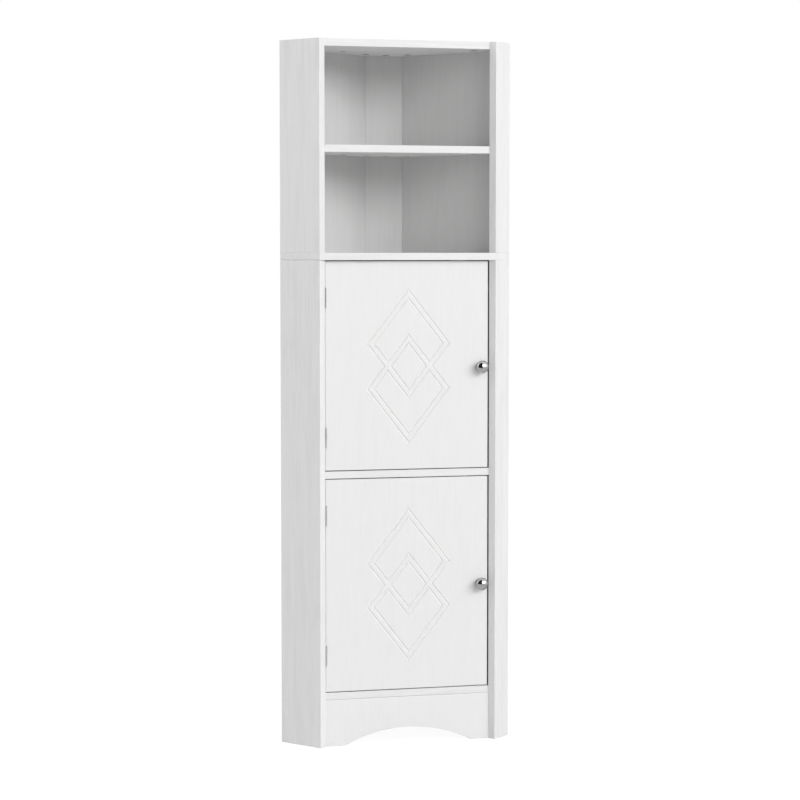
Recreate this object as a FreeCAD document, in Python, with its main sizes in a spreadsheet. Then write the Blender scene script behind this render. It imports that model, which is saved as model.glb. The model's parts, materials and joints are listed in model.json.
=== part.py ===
"""Tall corner cabinet for a bathroom: open bays above, two doors below, all on one six-sided plan.

Lengths are in millimetres. The front faces -Y and +Z is up. The origin is under the middle of the
cabinet's box. Carcass pieces are drawn in wall axes: X runs along the left wall and Y along the right
wall, both from the room's corner. Their placement then turns them so that the front faces -Y.
"""
import FreeCAD, Part
import os
import Sketcher

SIZES = [
    ("wall_length", 362, "reach of the cabinet along each wall"),
    ("left_return", 112, "depth of the left side panels"),
    ("right_return", 53, "depth of the right side panels"),
    ("side_thickness", 18, "side panels"),
    ("back_thickness", 12, "back panels"),
    ("board_thickness", 16, "level boards"),
    ("corner_cut", 72, "room corner to the corner panel, along the back panels' inner faces"),
    ("plinth_height", 103.5, "floor to the bottom board"),
    ("lower_bay_height", 473.5, "opening of the lower door"),
    ("upper_bay_height", 462, "opening of the upper door"),
    ("open_bay_height", 218.5, "lower open bay"),
    ("top_bay_height", 212.5, "upper open bay"),
    ("skirting_thickness", 16, "skirting board"),
    ("arch_width", 287, "arch in the skirting, at the floor"),
    ("arch_rise", 35.5, "arch in the skirting, floor to crown"),
    ("arch_shift", 2.5, "arch, right of the skirting's middle"),
    ("door_thickness", 16, "door panels"),
    ("door_gap", 2, "gap above and below each door"),
    ("door_side_gap", 2.4, "gap at each door's free edge"),
    ("door_hinge_gap", 0.5, "each door's hinged edge, right of the left side panel's front corner"),
    ("diamond_width", 185.3, "one diamond, tip to tip across"),
    ("diamond_height", 237.5, "one diamond, tip to tip up"),
    ("diamond_shift", 49.3, "each diamond's centre, above or below the door's middle"),
    ("diamond_band", 11.4, "distance between a diamond's two lines"),
    ("ornament_shift", 2.5, "diamonds, right of the door's middle"),
    ("ornament_drop", 1.8, "diamonds, below the door's middle"),
    ("groove_depth", 1.6, "fine grooves of the diamonds"),
    ("groove_width", 4.8, "width of a groove at the door's face"),
    ("groove_floor", 0.4, "width of a groove's floor"),
    ("door_edge_bevel", 0.8, "bevel on the doors' front edges"),
    ("knob_inset", 17, "knob's axis from the door's free edge"),
    ("knob_drop", 5, "knob's axis below the door's middle"),
    ("knob_projection", 27, "front of the knob from the door's face"),
    ("knob_diameter", 28, "knob's head across"),
    ("knob_head_depth", 21, "knob's head, front to back"),
    ("knob_rose_diameter", 22, "round foot of the knob"),
    ("knob_rose_thickness", 2.6, "round foot of the knob"),
    ("knob_neck_diameter", 11, "neck between foot and head"),
    ("knob_screw_radius", 2, "machine screw through the door"),
    ("knob_screw_bite", 9, "machine screw inside the knob"),
    ("knob_screw_head_radius", 4, "machine screw's round head"),
    ("knob_screw_head_height", 2.4, "machine screw's round head"),
    ("hinge_length", 44, "butt hinges"),
    ("hinge_inset", 80, "middle of a hinge from the door's end"),
    ("upper_low_hinge_inset", 72, "middle of the upper door's lower hinge from the door's end"),
    ("hinge_barrel_radius", 1.6, "hinge barrel"),
    ("hinge_pin_radius", 0.8, "hinge pin"),
    ("leaf_thickness", 0.8, "hinge leaves"),
    ("leaf_width", 12, "hinge leaves, let into panel and door"),
    ("leaf_screw_pitch", 24, "between a leaf's two screws"),
    ("leaf_screw_depth", 7, "a leaf's screws behind the panel's or the door's front corner"),
    ("barrel_clearance", 0.3, "barrel to what it turns past"),
    ("knuckle_gap", 0.3, "between two knuckles"),
    ("running_clearance", 0.05, "round fits, all round"),
    ("seat_clearance", 0.2, "round the edge of a recess"),
    ("screw_radius", 1.4, "wood screw's shank"),
    ("screw_head_radius", 2.2, "wood screw's flat head"),
    ("screw_length", 11, "wood screw with its head"),
    ("screw_tip", 2.5, "wood screw's point"),
    ("catch_width", 42, "magnetic catch"),
    ("catch_depth", 13, "magnetic catch"),
    ("catch_height", 12, "magnetic catch"),
    ("catch_inset", 62, "middle of the catch from the door's free edge"),
    ("catch_screw_pitch", 32, "between the catch's two screws"),
    ("magnet_width", 22, "magnet in the catch"),
    ("magnet_depth", 6, "magnet in the catch"),
    ("magnet_height", 6, "magnet in the catch"),
    ("magnet_proud", 0.6, "magnet in front of its housing"),
    ("magnet_gap", 0.3, "magnet to the strike plate, door shut"),
    ("strike_width", 36, "strike plate on the door"),
    ("strike_height", 10, "strike plate on the door"),
    ("strike_thickness", 0.8, "strike plate on the door"),
    ("strike_screw_pitch", 26, "between the strike plate's two screws"),
    ("shelf_thickness", 14, "adjustable shelves behind the doors"),
    ("shelf_clearance", 1, "adjustable shelf to the panels round it"),
    ("shelf_door_gap", 6, "least distance from a door's back to its shelf"),
    ("pin_radius", 2.5, "shelf pins"),
    ("pin_bite", 8, "shelf pin inside the panel"),
    ("pin_reach", 9, "shelf pin under the shelf"),
    ("pin_step", 64, "between the heights that a shelf can take"),
    ("side_pin_depth", 40, "left side's shelf pins behind its front corner"),
    ("back_pin_near", 120, "shelf pins along the walls, nearer the room's corner"),
    ("back_pin_far", 290, "shelf pins along the walls, further out"),
    ("cam_radius", 7.5, "cam locks"),
    ("cam_height", 12, "cam locks"),
    ("cam_setback", 34, "middle of a cam lock from its board's edge"),
    ("cam_slot_width", 1.6, "cross slot in a cam lock's face"),
    ("cam_slot_length", 10, "cross slot in a cam lock's face"),
    ("cam_slot_depth", 2, "cross slot in a cam lock's face"),
    ("cam_near", 113, "cam locks along the walls, nearer the room's corner"),
    ("cam_middle", 197, "cam locks along the left wall, further out"),
    ("cam_far", 297, "cam locks along the right wall, further out"),
    ("bolt_bite", 8, "cam bolt inside the back panel"),
    ("bolt_thread_radius", 3, "cam bolt inside the back panel"),
    ("bolt_shank_radius", 2.4, "cam bolt inside the board"),
    ("bolt_head_radius", 3.1, "cam bolt inside the cam lock"),
    ("bolt_head_length", 3, "cam bolt inside the cam lock"),
    ("bolt_hole_radius", 4, "hole for a cam bolt in a board's edge"),
    ("dowel_radius", 3, "wooden dowels"),
    ("dowel_bite", 11, "dowel inside a side panel or an upright edge"),
    ("dowel_reach", 18, "dowel inside a board's edge"),
    ("dowel_front", 32, "foremost dowels behind a side panel's front corner"),
    ("dowel_pitch", 42, "between two dowels in a left side panel"),
    ("skirting_dowel_inset", 40, "skirting dowels from the skirting's ends"),
    ("skirting_dowel_bite", 20, "skirting dowels inside the skirting"),
    ("cut_overrun", 5, "how far a cut runs past a face"),
]

PLAN = [
    ("front_angle", "atan2(Size.wall_length - Size.right_return; Size.wall_length - Size.left_return)"),
    ("front_sin", "sin(front_angle)"),
    ("front_cos", "cos(front_angle)"),
    ("front_level", "Size.wall_length * front_cos + Size.left_return * front_sin"),
    ("front_setback", "Size.side_thickness * max(front_sin; front_cos)"),
    ("inner_wall", "Size.wall_length - Size.side_thickness"),
    ("corner_foot", "Size.corner_cut + Size.back_thickness - Size.back_thickness * sqrt(2)"),
    ("corner_face", "(Size.corner_cut + Size.back_thickness) / sqrt(2)"),
    ("corner_x", "Size.wall_length * (front_sin - front_cos) / 2"),
    ("front_reach", "max(Size.knob_projection - front_setback; 0)"),
    ("corner_y", "(front_level + front_reach + corner_foot * min(front_sin; front_cos)) / 2"),
    ("front_y", "corner_y - front_level"),
    ("door_y", "front_y + front_setback"),
    ("board_left", "(front_level - front_setback - inner_wall * front_cos) / front_sin"),
    ("board_right", "(front_level - front_setback - inner_wall * front_sin) / front_cos"),
    ("board_left_x", "corner_x - inner_wall * front_sin + board_left * front_cos"),
    ("board_right_x", "corner_x - board_right * front_sin + inner_wall * front_cos"),
    ("barrel_offset", "Size.hinge_barrel_radius - Size.leaf_thickness"),
    ("barrel_reach", "sqrt((Size.hinge_barrel_radius + Size.barrel_clearance)^2 - barrel_offset^2)"),
    ("hinge_wall_x", "inner_wall - barrel_offset"),
    ("hinge_wall_y", "Size.left_return + barrel_reach"),
    ("hinge_x", "corner_x - hinge_wall_x * front_sin + hinge_wall_y * front_cos"),
    ("hinge_y", "corner_y - hinge_wall_x * front_cos - hinge_wall_y * front_sin"),
    ("leaf_x", "hinge_x + barrel_offset"),
    ("door_x", "corner_x - inner_wall * front_sin + Size.left_return * front_cos + Size.door_hinge_gap"),
    ("leaf_recess", "leaf_x + Size.leaf_thickness - door_x"),
    ("door_width", "board_right_x - Size.door_side_gap - door_x"),
    ("door_back_y", "door_y + Size.door_thickness"),
    ("divider_z", "Size.plinth_height + Size.board_thickness + Size.lower_bay_height"),
    ("middle_z", "divider_z + Size.board_thickness + Size.upper_bay_height"),
    ("upper_z", "middle_z + Size.board_thickness"),
    ("shelf_z", "upper_z + Size.open_bay_height"),
    ("top_z", "shelf_z + Size.board_thickness + Size.top_bay_height"),
    ("upper_height", "top_z + Size.board_thickness - upper_z"),
    ("lower_door_z", "Size.plinth_height + Size.board_thickness + Size.door_gap"),
    ("upper_door_z", "divider_z + Size.board_thickness + Size.door_gap"),
    ("lower_door_height", "Size.lower_bay_height - 2 * Size.door_gap"),
    ("upper_door_height", "Size.upper_bay_height - 2 * Size.door_gap"),
    ("lower_shelf_z", "lower_door_z + (lower_door_height - Size.shelf_thickness) / 2"),
    ("upper_shelf_z", "upper_door_z + (upper_door_height - Size.shelf_thickness) / 2"),
    ("shelf_edge", "Size.back_thickness + Size.shelf_clearance"),
    ("shelf_left", "inner_wall - Size.shelf_clearance"),
    ("shelf_corner_level", "shelf_edge * front_cos + shelf_left * front_sin"),
    ("shelf_door_level", "front_level - front_setback - Size.door_thickness - Size.shelf_door_gap"),
    ("shelf_level", "min(shelf_corner_level; shelf_door_level)"),
    ("shelf_front_left", "(shelf_level - shelf_left * front_cos) / front_sin"),
    ("shelf_front_right", "(shelf_level - shelf_edge * front_cos) / front_sin"),
    ("shelf_corner", "Size.corner_cut + Size.shelf_clearance * (sqrt(2) - 1)"),
    ("diamond_slope", "Size.diamond_height / Size.diamond_width"),
    ("diamond_stretch", "sqrt(1 + diamond_slope^2)"),
    ("groove_taper", "atan((Size.groove_width - Size.groove_floor) / 2 / Size.groove_depth)"),
    ("groove_half", "Size.groove_width / 2 * diamond_stretch"),
    ("outer_far", "Size.diamond_height / 2 + groove_half"),
    ("outer_near", "Size.diamond_height / 2 - groove_half"),
    ("inner_far", "Size.diamond_height / 2 - Size.diamond_band * diamond_stretch + groove_half"),
    ("inner_near", "inner_far - 2 * groove_half"),
    ("knob_screw_length", "Size.door_thickness + Size.knob_screw_bite"),
    ("head_centre", "Size.knob_projection - Size.knob_head_depth / 2"),
    ("bolt_length", "Size.cam_setback + Size.bolt_bite"),
    ("catch_x", "door_x + door_width - Size.catch_inset"),
    ("magnet_y", "door_back_y + Size.strike_thickness + Size.magnet_gap"),
    ("catch_y", "magnet_y + Size.magnet_proud"),
    ("screw_hole_radius", "Size.screw_radius + Size.running_clearance"),
    ("screw_hole_depth", "Size.screw_length + Size.seat_clearance"),
    ("screw_head_depth", "min(Size.leaf_thickness; Size.strike_thickness)"),
    ("dowel_hole_radius", "Size.dowel_radius + Size.running_clearance"),
    ("dowel_hole_bite", "Size.dowel_bite + Size.seat_clearance"),
]

doc = FreeCAD.newDocument("corner_cabinet")
size = doc.addObject("Spreadsheet::Sheet", "Size")
for row, (alias, value, note) in enumerate(SIZES, start=1):
    size.set(f"A{row}", note)
    size.set(f"B{row}", str(value))
    size.setAlias(f"B{row}", alias)
plan = doc.addObject("Spreadsheet::Sheet", "Plan")
for row, (alias, formula) in enumerate(PLAN, start=1):
    plan.set(f"A{row}", "=" + formula)
    plan.setAlias(f"A{row}", alias)
doc.recompute()

ORIGIN = FreeCAD.Vector(0, 0, 0)
AXIS_X = FreeCAD.Vector(1, 0, 0)
AXIS_Y = FreeCAD.Vector(0, 1, 0)
AXIS_Z = FreeCAD.Vector(0, 0, 1)
MID_BOARD = "Size.board_thickness / 2"

nodes = []


def number(expression):
    """Present value of a length expression."""
    return float(size.evalExpression(expression))


def keep(piece):
    """Count a finished piece among the nodes that are written out."""
    nodes.append(piece)
    return piece


def new_body(label):
    body = doc.addObject("PartDesign::Body", label)
    body.Label = label
    return body


def new_sketch(body, role="XY_Plane", shift="0", turn=0):
    """Sketch on one of the body's own planes, moved along its normal and turned about its upright."""
    sketch = body.newObject("Sketcher::SketchObject", body.Name + "_sketch")
    plane = next(feature for feature in body.Origin.OriginFeatures if feature.Role == role)
    sketch.AttachmentSupport = [(plane, "")]
    sketch.MapMode = "FlatFace"
    sketch.AttachmentOffset = FreeCAD.Placement(ORIGIN, FreeCAD.Rotation(AXIS_Y, turn))
    sketch.setExpression("AttachmentOffset.Base.x", f"({shift}) * sin({turn} deg)")
    sketch.setExpression("AttachmentOffset.Base.z", f"({shift}) * cos({turn} deg)")
    return sketch


def bind(sketch, kind, place, expression):
    """Add one dimension to a sketch and tie it to an expression."""
    index = sketch.addConstraint(Sketcher.Constraint(kind, *place, number(expression)))
    sketch.setExpression(f"Constraints[{index}]", expression)


def pin_point(sketch, geometry, end, x, y):
    """Hold one point of a sketch at a distance from the sketch's origin."""
    bind(sketch, "DistanceX", (-1, 1, geometry, end), x)
    bind(sketch, "DistanceY", (-1, 1, geometry, end), y)


def add_outline(sketch, points):
    """Closed outline of straight lines."""
    first = sketch.GeometryCount
    count = len(points)
    places = [FreeCAD.Vector(number(x), number(y), 0) for x, y in points]
    for index in range(count):
        sketch.addGeometry(Part.LineSegment(places[index], places[(index + 1) % count]))
    for index, (x, y) in enumerate(points):
        following = first + (index + 1) % count
        sketch.addConstraint(Sketcher.Constraint("Coincident", first + index, 2, following, 1))
        pin_point(sketch, first + index, 1, x, y)


def add_rectangle(sketch, low, high):
    add_outline(sketch, [low, (high[0], low[1]), high, (low[0], high[1])])


def add_circle(sketch, x, y, radius):
    centre = FreeCAD.Vector(number(x), number(y), 0)
    index = sketch.addGeometry(Part.Circle(centre, AXIS_Z, number(radius)))
    pin_point(sketch, index, 3, x, y)
    bind(sketch, "Radius", (index,), radius)


def pad(sketch, length, reverse=False, midplane=False, taper="0"):
    body = sketch.getParentGeoFeatureGroup()
    feature = body.newObject("PartDesign::Pad", body.Name + "_pad")
    feature.Profile = sketch
    feature.setExpression("Length", length)
    feature.setExpression("TaperAngle", taper)
    feature.Reversed = reverse
    feature.Midplane = midplane
    doc.recompute()
    return feature


def pocket(sketch, depth, reverse=False, midplane=False, taper="0"):
    """Cut a sketch into its body, and make sure that the cut takes something away."""
    body = sketch.getParentGeoFeatureGroup()
    before = body.Shape.Volume
    feature = body.newObject("PartDesign::Pocket", body.Name + "_pocket")
    feature.Profile = sketch
    feature.setExpression("Length", depth)
    feature.setExpression("TaperAngle", taper)
    feature.Reversed = reverse
    feature.Midplane = midplane
    doc.recompute()
    if not feature.Shape.Volume < before:
        raise RuntimeError(f"{feature.Name} cuts nothing from {body.Label}")
    return feature


def revolve(body, points):
    """Turn a half section, given as radius and height, about the sketch's upright axis."""
    sketch = new_sketch(body)
    add_outline(sketch, points)
    feature = body.newObject("PartDesign::Revolution", body.Name + "_turned")
    feature.Profile = sketch
    feature.ReferenceAxis = (sketch, ["V_Axis"])
    doc.recompute()
    return feature


def set_place(piece, x, y, z):
    piece.setExpression("Placement.Base.x", x)
    piece.setExpression("Placement.Base.y", y)
    piece.setExpression("Placement.Base.z", z)


def stand_on_walls(piece, z="0"):
    """Turn a piece that is drawn in wall axes into the cabinet's frame."""
    set_place(piece, "Plan.corner_x", "Plan.corner_y", z)
    piece.setExpression("Placement.Rotation.Angle", "-(90 deg + Plan.front_angle)")


def wall_spot(x, y):
    """Wall axes of a spot that is given in the cabinet's frame."""
    across = f"(({x}) - Plan.corner_x)"
    forward = f"(Plan.corner_y - ({y}))"
    wall_x = f"{forward} * Plan.front_cos - {across} * Plan.front_sin"
    wall_y = f"{forward} * Plan.front_sin + {across} * Plan.front_cos"
    return wall_x, wall_y


def group(label, master, spots):
    """One node of identical separate solids. A spot is x, y, z, an axis and a turn in degrees."""
    copies = []
    for x, y, z, axis, turn in spots:
        copy = doc.addObject("App::Link", f"{label}_copy")
        copy.LinkedObject = master
        copy.Placement = FreeCAD.Placement(ORIGIN, FreeCAD.Rotation(axis, turn))
        set_place(copy, x, y, z)
        copies.append(copy)
    compound = doc.addObject("Part::Compound", label)
    compound.Label = label
    compound.Links = copies
    return keep(compound)


def drill(body, side, holes, depth):
    """Round holes in the face of a panel that looks into the cabinet. A hole is along, height, radius."""
    role, shift, turn, reverse = {
        "left_back": ("XZ_Plane", "-Size.back_thickness", 0, True),
        "right_back": ("YZ_Plane", "Size.back_thickness", 0, False),
        "corner_back": ("XZ_Plane", "-Plan.corner_face", -45, True),
        "left_side": ("YZ_Plane", "Plan.inner_wall", 0, True),
        "right_side": ("XZ_Plane", "-Plan.inner_wall", 0, False),
    }[side]
    sketch = new_sketch(body, role, shift, turn)
    for along, height, radius in holes:
        add_circle(sketch, along, height, radius)
    return pocket(sketch, depth, reverse)


# Places that the joinery shares

LOWER_BOARDS = {"bottom_board": "Size.plinth_height", "divider_board": "Plan.divider_z"}
UPPER_BOARDS = {"open_shelf": "Plan.shelf_z", "top_board": "Plan.top_z"}
SHELVES = {"lower": "Plan.lower_shelf_z", "upper": "Plan.upper_shelf_z"}
DOORS = ("lower", "upper")

LEFT_CAMS = ("Size.cam_near", "Size.cam_middle")
RIGHT_CAMS = ("Size.cam_near", "Size.cam_far")
CAM_LINE = "Size.back_thickness + Size.cam_setback"
CAM_CORNER = "(Plan.corner_face + Size.cam_setback) / sqrt(2)"

LEFT_DOWELS = (
    "Size.left_return - Size.dowel_front",
    "Size.left_return - Size.dowel_front - Size.dowel_pitch",
)
RIGHT_DOWELS = ("(Size.back_thickness + Plan.board_right) / 2",)

LEFT_PINS = ("Size.left_return - Size.side_pin_depth",)
LEFT_BACK_PINS = ("Size.back_pin_near",)
RIGHT_BACK_PINS = ("Size.back_pin_near", "Size.back_pin_far")
PIN_STEPS = (-1, 0, 1)

HINGE_INSETS = {
    "lower": ("Size.hinge_inset", "Size.hinge_inset"),
    "upper": ("Size.upper_low_hinge_inset", "Size.hinge_inset"),
}
HINGE_HEIGHTS = {
    door: (f"Plan.{door}_door_z + {low}", f"Plan.{door}_door_z + Plan.{door}_door_height - {high}")
    for door, (low, high) in HINGE_INSETS.items()
}
LEAF_SCREWS = ("-Size.leaf_screw_pitch / 2", "Size.leaf_screw_pitch / 2")
SKIRTING_DOWELS = (
    "Plan.board_left_x + Size.skirting_dowel_inset",
    "Plan.board_right_x - Size.skirting_dowel_inset",
)
SKIRTING_MIDDLE_Y = "Plan.door_y + Size.skirting_thickness / 2"
CATCH_SCREWS = ("Plan.catch_x - Size.catch_screw_pitch / 2", "Plan.catch_x + Size.catch_screw_pitch / 2")
CATCH_SCREW_LINE = "(Size.catch_depth + Size.magnet_depth) / 2"
CATCH_SCREW_Y = f"Plan.catch_y + {CATCH_SCREW_LINE}"

# The dowels that tie the upper unit to the lower one, in wall axes
SIDE_LINE = "Size.wall_length - Size.side_thickness / 2"
BACK_LINE = "Size.back_thickness / 2"
STACK_DOWELS = {
    "left_side": [(SIDE_LINE, along) for along in LEFT_DOWELS],
    "right_side": [(along, SIDE_LINE) for along in RIGHT_DOWELS],
    "left_back": [("Size.cam_near", BACK_LINE), ("Size.cam_far", BACK_LINE)],
    "right_back": [(BACK_LINE, "Size.cam_near"), (BACK_LINE, "Size.cam_far")],
    "corner_back": [],
}


# Upright panels

PANEL_OUTLINES = {
    "left_side": [
        ("Plan.inner_wall", "0"), ("Size.wall_length", "0"),
        ("Size.wall_length", "Size.left_return"), ("Plan.inner_wall", "Size.left_return"),
    ],
    "right_side": [
        ("0", "Plan.inner_wall"), ("Size.right_return", "Plan.inner_wall"),
        ("Size.right_return", "Size.wall_length"), ("0", "Size.wall_length"),
    ],
    "left_back": [
        ("Plan.corner_foot", "0"), ("Plan.inner_wall", "0"),
        ("Plan.inner_wall", "Size.back_thickness"), ("Size.corner_cut", "Size.back_thickness"),
    ],
    "right_back": [
        ("0", "Plan.corner_foot"), ("Size.back_thickness", "Size.corner_cut"),
        ("Size.back_thickness", "Plan.inner_wall"), ("0", "Plan.inner_wall"),
    ],
    "corner_back": [
        ("Plan.corner_foot", "0"), ("Size.corner_cut", "Size.back_thickness"),
        ("Size.back_thickness", "Size.corner_cut"), ("0", "Plan.corner_foot"),
    ],
}


def joint_holes(side, boards, base):
    """Where a panel is drilled for the boards that it carries: along, height, radius, and the depth."""
    bolt = "Size.bolt_thread_radius + Size.running_clearance"
    alongs, radius, depth = {
        "left_side": (LEFT_DOWELS, "Plan.dowel_hole_radius", "Plan.dowel_hole_bite"),
        "right_side": (RIGHT_DOWELS, "Plan.dowel_hole_radius", "Plan.dowel_hole_bite"),
        "left_back": (LEFT_CAMS, bolt, "Size.bolt_bite + Size.seat_clearance"),
        "right_back": (RIGHT_CAMS, bolt, "Size.bolt_bite + Size.seat_clearance"),
        "corner_back": (("0",), bolt, "Size.bolt_bite + Size.seat_clearance"),
    }[side]
    heights = [f"{z} - {base} + {MID_BOARD}" for z in boards.values()]
    return [(along, height, radius) for along in alongs for height in heights], depth


def pin_holes(alongs):
    """Holes for the pins of both adjustable shelves, at every height that a shelf can take."""
    radius = "Size.pin_radius + Size.running_clearance"
    heights = [
        f"{z} - Size.pin_radius + {step} * Size.pin_step" for z in SHELVES.values() for step in PIN_STEPS
    ]
    return [(along, height, radius) for along in alongs for height in heights]


def make_panel(unit, side, base, height, boards):
    """One upright panel of the lower or the upper unit, with the holes for its boards and dowels."""
    body = new_body(f"{unit}_{side}")
    sketch = new_sketch(body)
    add_outline(sketch, PANEL_OUTLINES[side])
    pad(sketch, height)
    holes, depth = joint_holes(side, boards, base)
    drill(body, side, holes, depth)
    if STACK_DOWELS[side]:
        at_top = unit == "lower"
        ends = new_sketch(body, "XY_Plane", height if at_top else "0")
        for x, y in STACK_DOWELS[side]:
            add_circle(ends, x, y, "Plan.dowel_hole_radius")
        pocket(ends, "Plan.dowel_hole_bite", reverse=not at_top)
    stand_on_walls(body, base)
    return keep(body)


for side in PANEL_OUTLINES:
    make_panel("lower", side, "0", "Plan.middle_z", LOWER_BOARDS)
    make_panel("upper", side, "Plan.upper_z", "Plan.upper_height", UPPER_BOARDS)

for label, side, alongs in (
    ("lower_left_side", "left_side", LEFT_PINS),
    ("lower_left_back", "left_back", LEFT_BACK_PINS),
    ("lower_right_back", "right_back", RIGHT_BACK_PINS),
):
    drill(doc.getObject(label), side, pin_holes(alongs), "Size.pin_bite + Size.seat_clearance")

# Recesses and screw holes for the hinges, in the lower left side panel
RECESS_HALF = "(Size.hinge_length / 2 + Size.seat_clearance)"
PANEL_SCREW_LINE = "Size.left_return - Size.leaf_screw_depth"
hinge_panel = doc.getObject("lower_left_side")
mortises = new_sketch(hinge_panel, "YZ_Plane", "Plan.inner_wall")
pilots = []
for door in DOORS:
    for z in HINGE_HEIGHTS[door]:
        low = ("Size.left_return - Size.leaf_width - Size.seat_clearance", f"{z} - {RECESS_HALF}")
        high = ("Size.left_return + Size.cut_overrun", f"{z} + {RECESS_HALF}")
        add_rectangle(mortises, low, high)
        for offset in LEAF_SCREWS:
            pilots.append((PANEL_SCREW_LINE, f"{z} + ({offset})", "Plan.screw_hole_radius"))
pocket(mortises, "Size.leaf_thickness", reverse=True)
drill(hinge_panel, "left_side", pilots, "Plan.screw_hole_depth")


# Level boards

BOARD_OUTLINE = [
    ("Size.corner_cut", "Size.back_thickness"), ("Plan.inner_wall", "Size.back_thickness"),
    ("Plan.inner_wall", "Plan.board_left"), ("Plan.board_right", "Plan.inner_wall"),
    ("Size.back_thickness", "Plan.inner_wall"), ("Size.back_thickness", "Size.corner_cut"),
]


def make_board(label, z):
    """Board between the panels: cam locks let in from below, bolt holes and dowel holes in its edges."""
    body = new_body(label)
    sketch = new_sketch(body)
    add_outline(sketch, BOARD_OUTLINE)
    pad(sketch, "Size.board_thickness")
    cams = new_sketch(body)
    for x, y, _ in cam_places():
        add_circle(cams, x, y, "Size.cam_radius + Size.running_clearance")
    pocket(cams, "Size.cam_height + Size.seat_clearance", reverse=True)
    for role, turn, reverse, alongs, depth in (
        ("XZ_Plane", 0, False, LEFT_CAMS, CAM_LINE),
        ("YZ_Plane", 0, True, RIGHT_CAMS, CAM_LINE),
        ("XZ_Plane", -45, False, ("0",), "Plan.corner_face + Size.cam_setback"),
    ):
        bolts = new_sketch(body, role, "0", turn)
        for along in alongs:
            add_circle(bolts, along, MID_BOARD, "Size.bolt_hole_radius")
        pocket(bolts, depth, reverse)
    for role, shift, reverse, alongs in (
        ("YZ_Plane", "Plan.inner_wall", False, LEFT_DOWELS),
        ("XZ_Plane", "-Plan.inner_wall", True, RIGHT_DOWELS),
    ):
        dowels = new_sketch(body, role, shift)
        for along in alongs:
            add_circle(dowels, along, MID_BOARD, "Plan.dowel_hole_radius")
        pocket(dowels, "Size.dowel_reach + Size.seat_clearance", reverse)
    stand_on_walls(body, z)
    return keep(body)


def cam_places():
    """Cam locks of one board in wall axes: x, y, and the turn that faces the lock's mouth to its bolt."""
    left = [(along, CAM_LINE, 0) for along in LEFT_CAMS]
    right = [(CAM_LINE, along, -90) for along in RIGHT_CAMS]
    return left + right + [(CAM_CORNER, CAM_CORNER, -45)]


ALL_BOARDS = {**LOWER_BOARDS, **UPPER_BOARDS}
for label, z in ALL_BOARDS.items():
    make_board(label, z)

middle_board = new_body("middle_board")
middle_outline = new_sketch(middle_board)
add_outline(middle_outline, [
    ("Plan.corner_foot", "0"), ("Size.wall_length", "0"), ("Size.wall_length", "Size.left_return"),
    ("Size.right_return", "Size.wall_length"), ("0", "Size.wall_length"), ("0", "Plan.corner_foot"),
])
pad(middle_outline, "Size.board_thickness")
through = new_sketch(middle_board)
for spots in STACK_DOWELS.values():
    for x, y in spots:
        add_circle(through, x, y, "Plan.dowel_hole_radius")
pocket(through, "Size.board_thickness", reverse=True)
stand_on_walls(middle_board, "Plan.middle_z")
keep(middle_board)

# Screw holes for the catches, up into the boards above the doors
for board in (middle_board, doc.getObject("divider_board")):
    catch_holes = new_sketch(board)
    for x in CATCH_SCREWS:
        add_circle(catch_holes, *wall_spot(x, CATCH_SCREW_Y), "Plan.screw_hole_radius")
    pocket(catch_holes, "Plan.screw_hole_depth - Size.catch_height / 2", reverse=True)

# Dowel holes for the skirting, up into the bottom board
skirting_holes = new_sketch(doc.getObject("bottom_board"))
for x in SKIRTING_DOWELS:
    add_circle(skirting_holes, *wall_spot(x, SKIRTING_MIDDLE_Y), "Plan.dowel_hole_radius")
pocket(skirting_holes, "Plan.dowel_hole_bite", reverse=True)


# Skirting board with its arch

skirting = new_body("skirting_board")
skirting_plan = new_sketch(skirting)
flare_left = "Size.skirting_thickness * Plan.front_cos / Plan.front_sin"
flare_right = "Size.skirting_thickness * Plan.front_sin / Plan.front_cos"
add_outline(skirting_plan, [
    ("Plan.board_left_x", "0"), ("Plan.board_right_x", "0"),
    (f"Plan.board_right_x + {flare_right}", "Size.skirting_thickness"),
    (f"Plan.board_left_x - {flare_left}", "Size.skirting_thickness"),
])
pad(skirting_plan, "Size.plinth_height")
arch = new_sketch(skirting, "XZ_Plane")
ARCH_MIDDLE = "(Plan.board_left_x + Plan.board_right_x) / 2 + Size.arch_shift"
arch_left = f"{ARCH_MIDDLE} - Size.arch_width / 2"
arch_right = f"{ARCH_MIDDLE} + Size.arch_width / 2"
arch_radius = "(Size.arch_width^2 / 4 + Size.arch_rise^2) / (2 * Size.arch_rise)"
foot_left = FreeCAD.Vector(number(arch_left), 0, 0)
foot_right = FreeCAD.Vector(number(arch_right), 0, 0)
crown = FreeCAD.Vector(number(ARCH_MIDDLE), number("Size.arch_rise"), 0)
below = FreeCAD.Vector(0, -number("Size.cut_overrun"), 0)
curve = arch.addGeometry(Part.Arc(foot_right, crown, foot_left))
left_drop = arch.addGeometry(Part.LineSegment(foot_left, foot_left + below))
bottom_run = arch.addGeometry(Part.LineSegment(foot_left + below, foot_right + below))
right_rise = arch.addGeometry(Part.LineSegment(foot_right + below, foot_right))
for first, second in ((left_drop, bottom_run), (bottom_run, right_rise)):
    arch.addConstraint(Sketcher.Constraint("Coincident", first, 2, second, 1))
arch.addConstraint(Sketcher.Constraint("Coincident", curve, 2, left_drop, 1))
arch.addConstraint(Sketcher.Constraint("Coincident", curve, 1, right_rise, 2))
pin_point(arch, left_drop, 1, arch_left, "0")
pin_point(arch, right_rise, 2, arch_right, "0")
pin_point(arch, bottom_run, 1, arch_left, "-Size.cut_overrun")
pin_point(arch, bottom_run, 2, arch_right, "-Size.cut_overrun")
bind(arch, "Radius", (curve,), arch_radius)
pocket(arch, "Size.skirting_thickness")
skirting_ends = new_sketch(skirting, "XY_Plane", "Size.plinth_height")
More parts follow.
